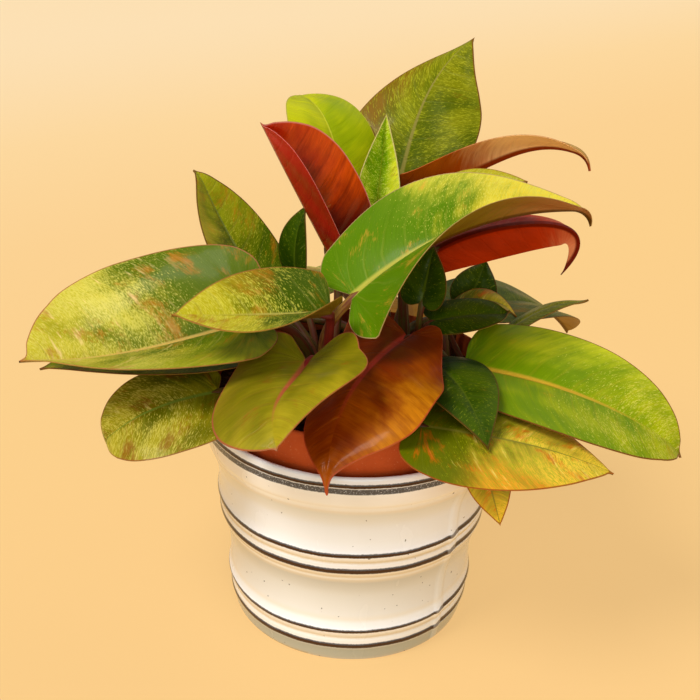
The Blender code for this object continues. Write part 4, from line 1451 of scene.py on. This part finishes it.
@dataclass
class GlazedPot:
    """Outer pot of cream stoneware with brown ridge lines and a raised seam; sizes in mm."""

    height: float = 121.0
    floor: float = 6.0
    seam_angle: float = -43.0
    seam_width: float = 4.6
    seam_rise: float = 0.8
    line_jog: float = 1.5
    steps: int = 360

    def profile(self) -> list[Pair]:
        """Gives the pot's half section from the base's centre to the floor's centre.

        Returns:
            Radii and heights in mm.
        """
        foot = [(0, 0.6), (58, 0.6), (59.5, 0), (62.5, 0), (64, 0.5), (64.6, 2)]
        wall = [(64.6, 2), (65.6, 7), (66.3, 9.4), (66.65, 10.5), (66.3, 11.8), (66.5, 14), (66.35, 16.5),
                (67.0, 18.8), (67.6, 20.2), (67.9, 21.4), (67.3, 23.4), (66.7, 27), (66.6, 36),
                (67.3, 45), (69.2, 53), (70.4, 56.3), (70.6, 57.6), (71.5, 59.6), (72.3, 61.7),
                (72.0, 63.6), (72.2, 66), (72.0, 67.6), (72.6, 69.4), (73.3, 71.3), (73.35, 72.4),
                (72.6, 75.2), (72.4, 80), (73.4, 90), (75.6, 97), (77.2, 101), (77.6, 103),
                (78.6, 105), (79.4, 110), (79.9, 115.2), (80.0, 116.6), (79.6, 118.4)]
        lip = [(79.6, 118.4), (79.1, 120.2), (78.2, 121), (77.2, 120.8), (76.5, 119.4)]
        inside = [(76.5, 119.4), (69, 84), (63, 45), (57, 9), (54, self.floor), (0, self.floor)]
        return foot + rounded(wall, 170)[1:] + rounded(lip, 14)[1:] + inside[1:]

    def places(self, graph: Graph, place: Socket, wobble: Socket) -> tuple[Socket, Socket]:
        """Works out the places that the glaze follows.

        Args:
            graph: Graph of the material.
            place: Object coordinates.
            wobble: Slow noise that shifts the lines.

        Returns:
            The mask of the seam strip and the height in mm, with the lines' jog and wobble.
        """
        x, y, z = graph.parts(place)
        angle = graph.math("ARCTAN2", y, x)
        past = graph.minus(angle, math.radians(self.seam_angle))
        half = math.radians(self.seam_width) / 2
        strip = graph.step(graph.math("ABSOLUTE", past), half * 1.15, half * 0.8)
        beyond = graph.times(graph.step(past, -half * 0.6, half * 0.6), graph.step(angle, *BACK_FADE))
        fuzz = graph.noise(graph.scaled(place, 900.0))
        shift = graph.times_plus(beyond, -self.line_jog, graph.minus(wobble, 0.5))
        shift = graph.swing(fuzz, 0.55, shift)
        return strip, graph.times_plus(z, 1 / MM, shift)

    def material(self) -> bpy.types.Material:
        """Makes the glaze: cream and white with brown lines, tan grooves and a grey band.

        Returns:
            The material.
        """
        made, graph, shader = start_material("stoneware_glaze", 0.2, 0.3, 0.35)
        place = graph.place()
        wobble = graph.noise(graph.scaled(place, (60.0, 60.0, 20.0)), detail=3.0)
        strip, level = self.places(graph, place, wobble)
        height = graph.math("DIVIDE", level, self.height)
        colour = graph.ramp(height, [(mm / self.height, tone) for mm, tone in GLAZE_BANDS])
        for middle, thick in LINES:
            gap = graph.math("ABSOLUTE", graph.minus(level, middle + HALO_RISE))
            halo = graph.step(gap, thick * 0.95, thick * 0.55)
            colour = graph.mix(graph.times(halo, 0.92), colour, linear(HALO_BLUE))
            gap = graph.math("ABSOLUTE", graph.minus(level, middle))
            colour = graph.mix(graph.step(gap, thick * 0.60, thick * 0.38), colour, linear(LINE_BROWN))
        grey = graph.times(*(graph.step(level, *fade) for fade in GREY_BAND))
        speckle = graph.ramp(graph.noise(graph.scaled(place, 1500.0)), SPECKLE)
        colour = graph.mix(graph.times(grey, 0.92), colour, speckle)
        dots = graph.step(graph.noise(graph.scaled(place, 520.0), detail=0.0), 0.832, 0.85)
        colour = graph.mix(graph.times(dots, 0.8), colour, linear((70, 56, 44)))
        colour = graph.mix(graph.times(strip, 0.22), colour, linear((250, 246, 236)))
        graph.feed(shader.inputs["Base Color"], colour)
        graph.feed(shader.inputs["Roughness"], graph.step(wobble, 0.3, 0.7, 0.14, 0.28))
        bump(graph, shader, wobble, 0.35)
        return made

    def build(self) -> bpy.types.Object:
        """Builds the outer pot.

        Returns:
            The pot's object.
        """
        mesh = turned("outer_pot", self.profile(), self.steps)
        points = read_points(mesh) / MM
        radius = np.hypot(points[:, 0], points[:, 1])
        angle = np.degrees(np.arctan2(points[:, 1], points[:, 0]))
        half = self.seam_width / 2
        strip = np.clip((half + 0.6 - np.abs(angle - self.seam_angle)) / 1.2, 0, 1)
        above_foot = (radius > FOOT[0]) & (points[:, 2] > FOOT[1])
        outer = above_foot & (radius > np.interp(points[:, 2], *WALL_MIDDLE))
        thrown = sum(size * np.sin(np.radians(waves * angle + start)) for size, waves, start in THROWN)
        grow = np.where(outer, strip * self.seam_rise * 0.75 + thrown, 0)
        scale = 1 + grow / np.maximum(radius, 1)
        points[:, :2] *= scale[:, None]
        write_points(mesh, points)
        return make_object("outer_pot", mesh, self.material())


@dataclass
class ClayPot:
    """Growing pot of terracotta, whose rim shows above the outer pot; sizes in mm."""

    base: float = 6.3
    rim_z: float = 141.0
    rim_radius: float = 76.0
    steps: int = 160

    def profile(self) -> list[Pair]:
        """Gives the pot's half section from the base's centre to the floor's centre.

        Returns:
            Radii and heights in mm.
        """
        outside = [(0, self.base), (50, self.base), (52, self.base + 4), (68, 96), (73.4, 118.6),
                   (73.9, 120.2), (74.6, 122.5), (75.2, 130), (75.8, 138)]
        rim = rounded([(75.8, 138), (self.rim_radius, 139.6), (75.6, 140.7), (75.1, self.rim_z),
                       (74.6, 140.7), (74.2, 139.4), (73.7, 137.6)], 18)
        inside = [(73.2, 131), (72.2, 120), (66, 96), (50, self.base + 5), (48, self.base + 2),
                  (0, self.base + 2)]
        return outside + rim[1:] + inside

    def material(self) -> bpy.types.Material:
        """Makes the fired clay: warm orange brown, slightly mottled and dusty.

        Returns:
            The material.
        """
        made, graph, shader = start_material("terracotta", 0.55, shine=0.2)
        place = graph.place()
        cloud = graph.noise(graph.scaled(place, 26.0), detail=4.0, roughness=0.6)
        grit = graph.noise(graph.scaled(place, 900.0), detail=3.0)
        rings = graph.noise(graph.scaled(place, (12.0, 12.0, 380.0)))
        colour = graph.ramp(cloud, [(0.25, (160, 60, 18)), (0.55, (190, 82, 34)), (0.8, (206, 102, 52))])
        colour = graph.mix(graph.step(grit, 0.62, 0.75, 0.0, 0.35), colour, linear((206, 140, 100)))
        graph.feed(shader.inputs["Base Color"], colour)
        graph.feed(shader.inputs["Roughness"], graph.step(cloud, 0.2, 0.8, 0.42, 0.62))
        bump(graph, shader, graph.plus(grit, rings), 0.12)
        return made

    def build(self) -> bpy.types.Object:
        """Builds the growing pot.

        Returns:
            The pot's object.
        """
        mesh = turned("growing_pot", self.profile(), self.steps)
        return make_object("growing_pot", mesh, self.material())


@dataclass
class SoilBed:
    """Dark peat soil with crumbs and bark chips; sizes in mm."""

    edge_radius: float = 72.6
    edge_z: float = 130.0
    crown_z: float = 133.0
    floor_z: float = 100.0
    rings: int = 60
    steps: int = 200
    crumbs: int = 420
    crumb_size: Pair = (0.8, 2.3)
    seed: int = 11

    def surface_z(self, radius: np.ndarray, angle: np.ndarray) -> np.ndarray:
        """Height of the soil's top.

        Args:
            radius: Distances from the axis in mm.
            angle: Angles round the axis.

        Returns:
            Heights in mm.
        """
        base = self.crown_z - (self.crown_z - self.edge_z) * (radius / self.edge_radius)**2
        x, y = radius * np.cos(angle), radius * np.sin(angle)
        lumps = 0.7 * np.sin(x / 5.1 + 1.3 * np.sin(y / 7.7)) * np.sin(y / 4.3 + 0.9 * np.sin(x / 6.1))
        grit = 0.35 * np.sin(x / 1.7 + 2 * np.sin(y / 3.1)) * np.sin(y / 1.9)
        return base - 0.4 + (lumps + grit) * np.clip((self.edge_radius - radius) / 6, 0, 1)

    def material(self) -> bpy.types.Material:
        """Makes the soil: nearly black brown with paler fibres.

        Returns:
            The material.
        """
        made, graph, shader = start_material("peat_soil", 0.95, shine=0.1)
        place = graph.place()
        cloud = graph.noise(graph.scaled(place, 240.0), detail=5.0, roughness=0.7)
        colour = graph.ramp(cloud, [(0.3, (22, 14, 9)), (0.52, (52, 34, 22)), (0.66, (96, 66, 42)),
                                    (0.8, (150, 116, 80))])
        graph.feed(shader.inputs["Base Color"], colour)
        bump(graph, shader, cloud, 1.0)
        return made

    def build(self) -> bpy.types.Object:
        """Builds the soil with its crumbs in one piece.

        Returns:
            The soil's object.
        """
        rings = [(self.edge_radius * k / self.rings, self.crown_z) for k in range(self.rings, -1, -1)]
        profile = [(0, self.floor_z), (66, self.floor_z), (72.0, 120.5)] + rings
        mesh = turned("soil_bed", profile, self.steps)
        points = read_points(mesh) / MM
        radius = np.hypot(points[:, 0], points[:, 1])
        top = points[:, 2] > self.crown_z - 0.5
        angle = np.arctan2(points[:, 1], points[:, 0])
        points[:, 2] = np.where(top, self.surface_z(radius, angle), points[:, 2])
        write_points(mesh, points)
        bed = make_object("soil_bed", mesh, self.material())
        bm = bmesh.new()
        bm.from_mesh(mesh)
        draw = random.Random(self.seed)
        for _ in range(self.crumbs):
            self.add_crumb(bm, draw)
        bm.to_mesh(mesh)
        bm.free()
        return bed

    def add_crumb(self, bm: bmesh.types.BMesh, draw: random.Random) -> None:
        """Adds one crumb or chip of bark on the soil.

        Args:
            bm: Bmesh to add it to.
            draw: Source of the random sizes and places.
        """
        radius = self.edge_radius * math.sqrt(draw.random()) * 0.95
        angle = draw.uniform(0, math.tau)
        size = draw.uniform(*self.crumb_size)
        z = float(self.surface_z(np.array([radius]), np.array([angle]))[0])
        place = Matrix.Translation(Vector((radius * math.cos(angle), radius * math.sin(angle), z)) * MM)
        about, tilt = draw.uniform(0, math.tau), draw.uniform(-0.5, 0.5)
        spin = Matrix.Rotation(about, 4, "Z") @ Matrix.Rotation(tilt, 4, "X")
        longer, flatter = draw.uniform(0.8, 1.9), draw.uniform(0.4, 0.8)
        shape = Matrix.Diagonal((size * longer * MM, size * MM, size * flatter * MM, 1))
        bmesh.ops.create_icosphere(bm, subdivisions=1, radius=1.0, matrix=place @ spin @ shape)


@dataclass
class CrownStem:
    """Short ringed stem with dry sheaths; sizes in mm."""

    node: str
    x: float
    y: float
    radius: float
    top: float
    foot_z: float = 112.0
    soil_z: float = 133.0
    steps: int = 40
    sides: int = 28
    ring_depth: float = 0.05

    def material(self) -> bpy.types.Material:
        """Makes the stem's skin: brown fibres.

        Returns:
            The material.
        """
        made, graph, shader = start_material(self.node + "_skin", 0.8, shine=0.2)
        fibres = graph.group(FIBRE, {"Main": linear((92, 64, 36)), "Streak": linear((46, 28, 16)),
                                     "Seed": self.x, "Amount": 1.0})
        graph.feed(shader.inputs["Base Color"], fibres.outputs["Color"])
        bump(graph, shader, fibres.outputs["Height"], 0.8)
        return made

    def build(self) -> bpy.types.Object:
        """Builds the stem.

        Returns:
            The stem's object.
        """
        span = self.top - self.soil_z
        share = np.linspace(0, 1, self.steps)
        points = np.stack((np.full(self.steps, self.x), np.full(self.steps, self.y),
                           self.soil_z + span * share), -1)
        taper = np.sqrt(np.clip(1 - share**2.4, 0, 1)) * 0.92
        rings = 1 + self.ring_depth * np.sin(share * 26)
        radii = np.maximum(self.radius * taper * rings, 0.3)
        low = np.array([(self.x, self.y, self.foot_z)])
        mesh = tube(self.node, np.vstack((low, points)), np.r_[self.radius * 0.88, radii], self.sides)
        return make_object(self.node.replace("crown_", "") + "_crown", mesh, self.material())


# Studio

# Floor tones from 0, near the front and to the right, to 1, far: darker and more orange at 0, where the
# fall in tone toward the right is painted shade.
FLOOR_TONES = ((0.0, (254, 207, 138)), (0.2, (254, 209, 140)), (0.45, (254, 211, 147)),
               (0.7, (255, 217, 158)), (1.0, (255, 225, 179)))


@dataclass
class Studio:
    """Floor, lights and camera; camera sizes in mm, angles in degrees."""

    camera: Triple = (5.0, -540.0, 409.0)
    pitch: float = 25.6
    yaw: float = -0.93
    roll: float = 2.06
    lens: float = 59.14
    floor_size: float = 8.0
    fade: Pair = (-0.4, 2.2)     # metres from the object between which the floor's tone changes
    own_light: float = 0.7       # share of the floor's tone that doesn't depend on the lamps

    def floor(self) -> None:
        """Lays a plain pale floor, paler from near to far, with painted shade that makes it slightly darker
        and more orange toward the right.
        """
        bm = bmesh.new()
        bmesh.ops.create_grid(bm, x_segments=1, y_segments=1, size=self.floor_size)
        made, graph, shader = start_material("floor_paper", 0.9, shine=0.0)
        x, y, _ = graph.parts(graph.place())
        # Painted shade: the tone also falls toward the right (+x), as if that side lay in shade.
        away = graph.times_plus(x, -0.9, y)
        tone = graph.ramp(graph.step(away, *self.fade), FLOOR_TONES)
        graph.feed(shader.inputs["Base Color"], graph.mix(self.own_light, tone, BLACK))
        graph.feed(shader.inputs["Emission Color"], tone)
        shader.inputs["Emission Strength"].default_value = self.own_light
        floor = make_object("floor", finish_mesh(bm, "floor"), made)

    def sun(self, name: str, toward: Triple, strength: float, spread: float, tint: Triple) -> None:
        """Adds a distant soft lamp.

        Args:
            name: Name of the lamp.
            toward: Direction from the object to the lamp.
            strength: Its strength in watts for each square metre.
            spread: Its apparent size in degrees, which softens the shadows.
            tint: Its colour.
        """
        data = bpy.data.lights.new(name, "SUN")
        data.angle = math.radians(spread)
        data.energy = strength
        data.color = tint
        lamp = bpy.data.objects.new(name, data)
        lamp.rotation_euler = (-Vector(toward)).to_track_quat("-Z", "Y").to_euler()
        bpy.context.scene.collection.objects.link(lamp)

    def lights(self) -> None:
        """Adds the lamps and the room's even light, with plain display colours."""
        self.sun("key", (-0.55, -0.45, 1.0), 2.1, 24.0, (0.97, 0.98, 1.0))
        self.sun("front", (0.05, -1.0, 0.45), 1.26, 45.0, (0.82, 0.93, 1.0))
        self.sun("back", (0.3, 0.6, 1.0), 0.4, 60.0, (1.0, 0.98, 0.94))
        world = bpy.data.worlds.new("room")
        world.use_nodes = True
        back = world.node_tree.nodes["Background"]
        back.inputs["Color"].default_value = (0.85, 0.93, 1.0, 1.0)
        back.inputs["Strength"].default_value = 0.2
        bpy.context.scene.world = world
        bpy.context.scene.view_settings.view_transform = "Standard"

    def aim(self) -> None:
        """Places the camera at the photograph's viewing angle."""
        data = bpy.data.cameras.new("camera")
        data.lens = self.lens
        data.sensor_width = 36.0
        data.clip_start = 0.01
        data.clip_end = 50.0
        camera = bpy.data.objects.new("camera", data)
        pitch, yaw, roll = (math.radians(a) for a in (self.pitch, self.yaw, self.roll))
        ahead = Vector((math.sin(yaw) * math.cos(pitch), math.cos(yaw) * math.cos(pitch),
                        -math.sin(pitch)))
        right = Vector((math.cos(yaw), -math.sin(yaw), 0.0))
        up = right.cross(ahead)
        side = right * math.cos(roll) + up * math.sin(roll)
        top = up * math.cos(roll) - right * math.sin(roll)
        turned_to = Matrix((side, top, -ahead)).transposed().to_4x4()
        camera.matrix_world = Matrix.Translation(Vector(self.camera) * MM) @ turned_to
        bpy.context.scene.collection.objects.link(camera)
        bpy.context.scene.camera = camera


def stand_for(piece: bpy.types.Object, node: str) -> None:
    """Lets a piece ride on the body and stand for a node.

    Args:
        piece: The finished piece.
        node: The CAD node that it replaces.
    """
    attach(piece, BODY)
    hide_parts(node)
    LOG.info("%s: %d faces", piece.name, len(piece.data.polygons))


CROWNS = (CrownStem("crown_left", -7, -8, 8.0, 158), CrownStem("crown_right", 40, -4, 7.0, 150),
          CrownStem("crown_back", 13, 27, 7.0, 152))


def main() -> None:
    """Builds the studio and every piece."""
    logging.basicConfig(level=logging.INFO, format="%(message)s")
    studio = Studio()
    studio.floor()
    studio.lights()
    studio.aim()
    stand_for(GlazedPot().build(), "glazed_pot")
    stand_for(ClayPot().build(), "clay_pot")
    stand_for(SoilBed().build(), "soil")
    for crown in CROWNS:
        stand_for(crown.build(), crown.node)
    Plant(LEAVES).build()


if __name__ == "__main__":
    main()
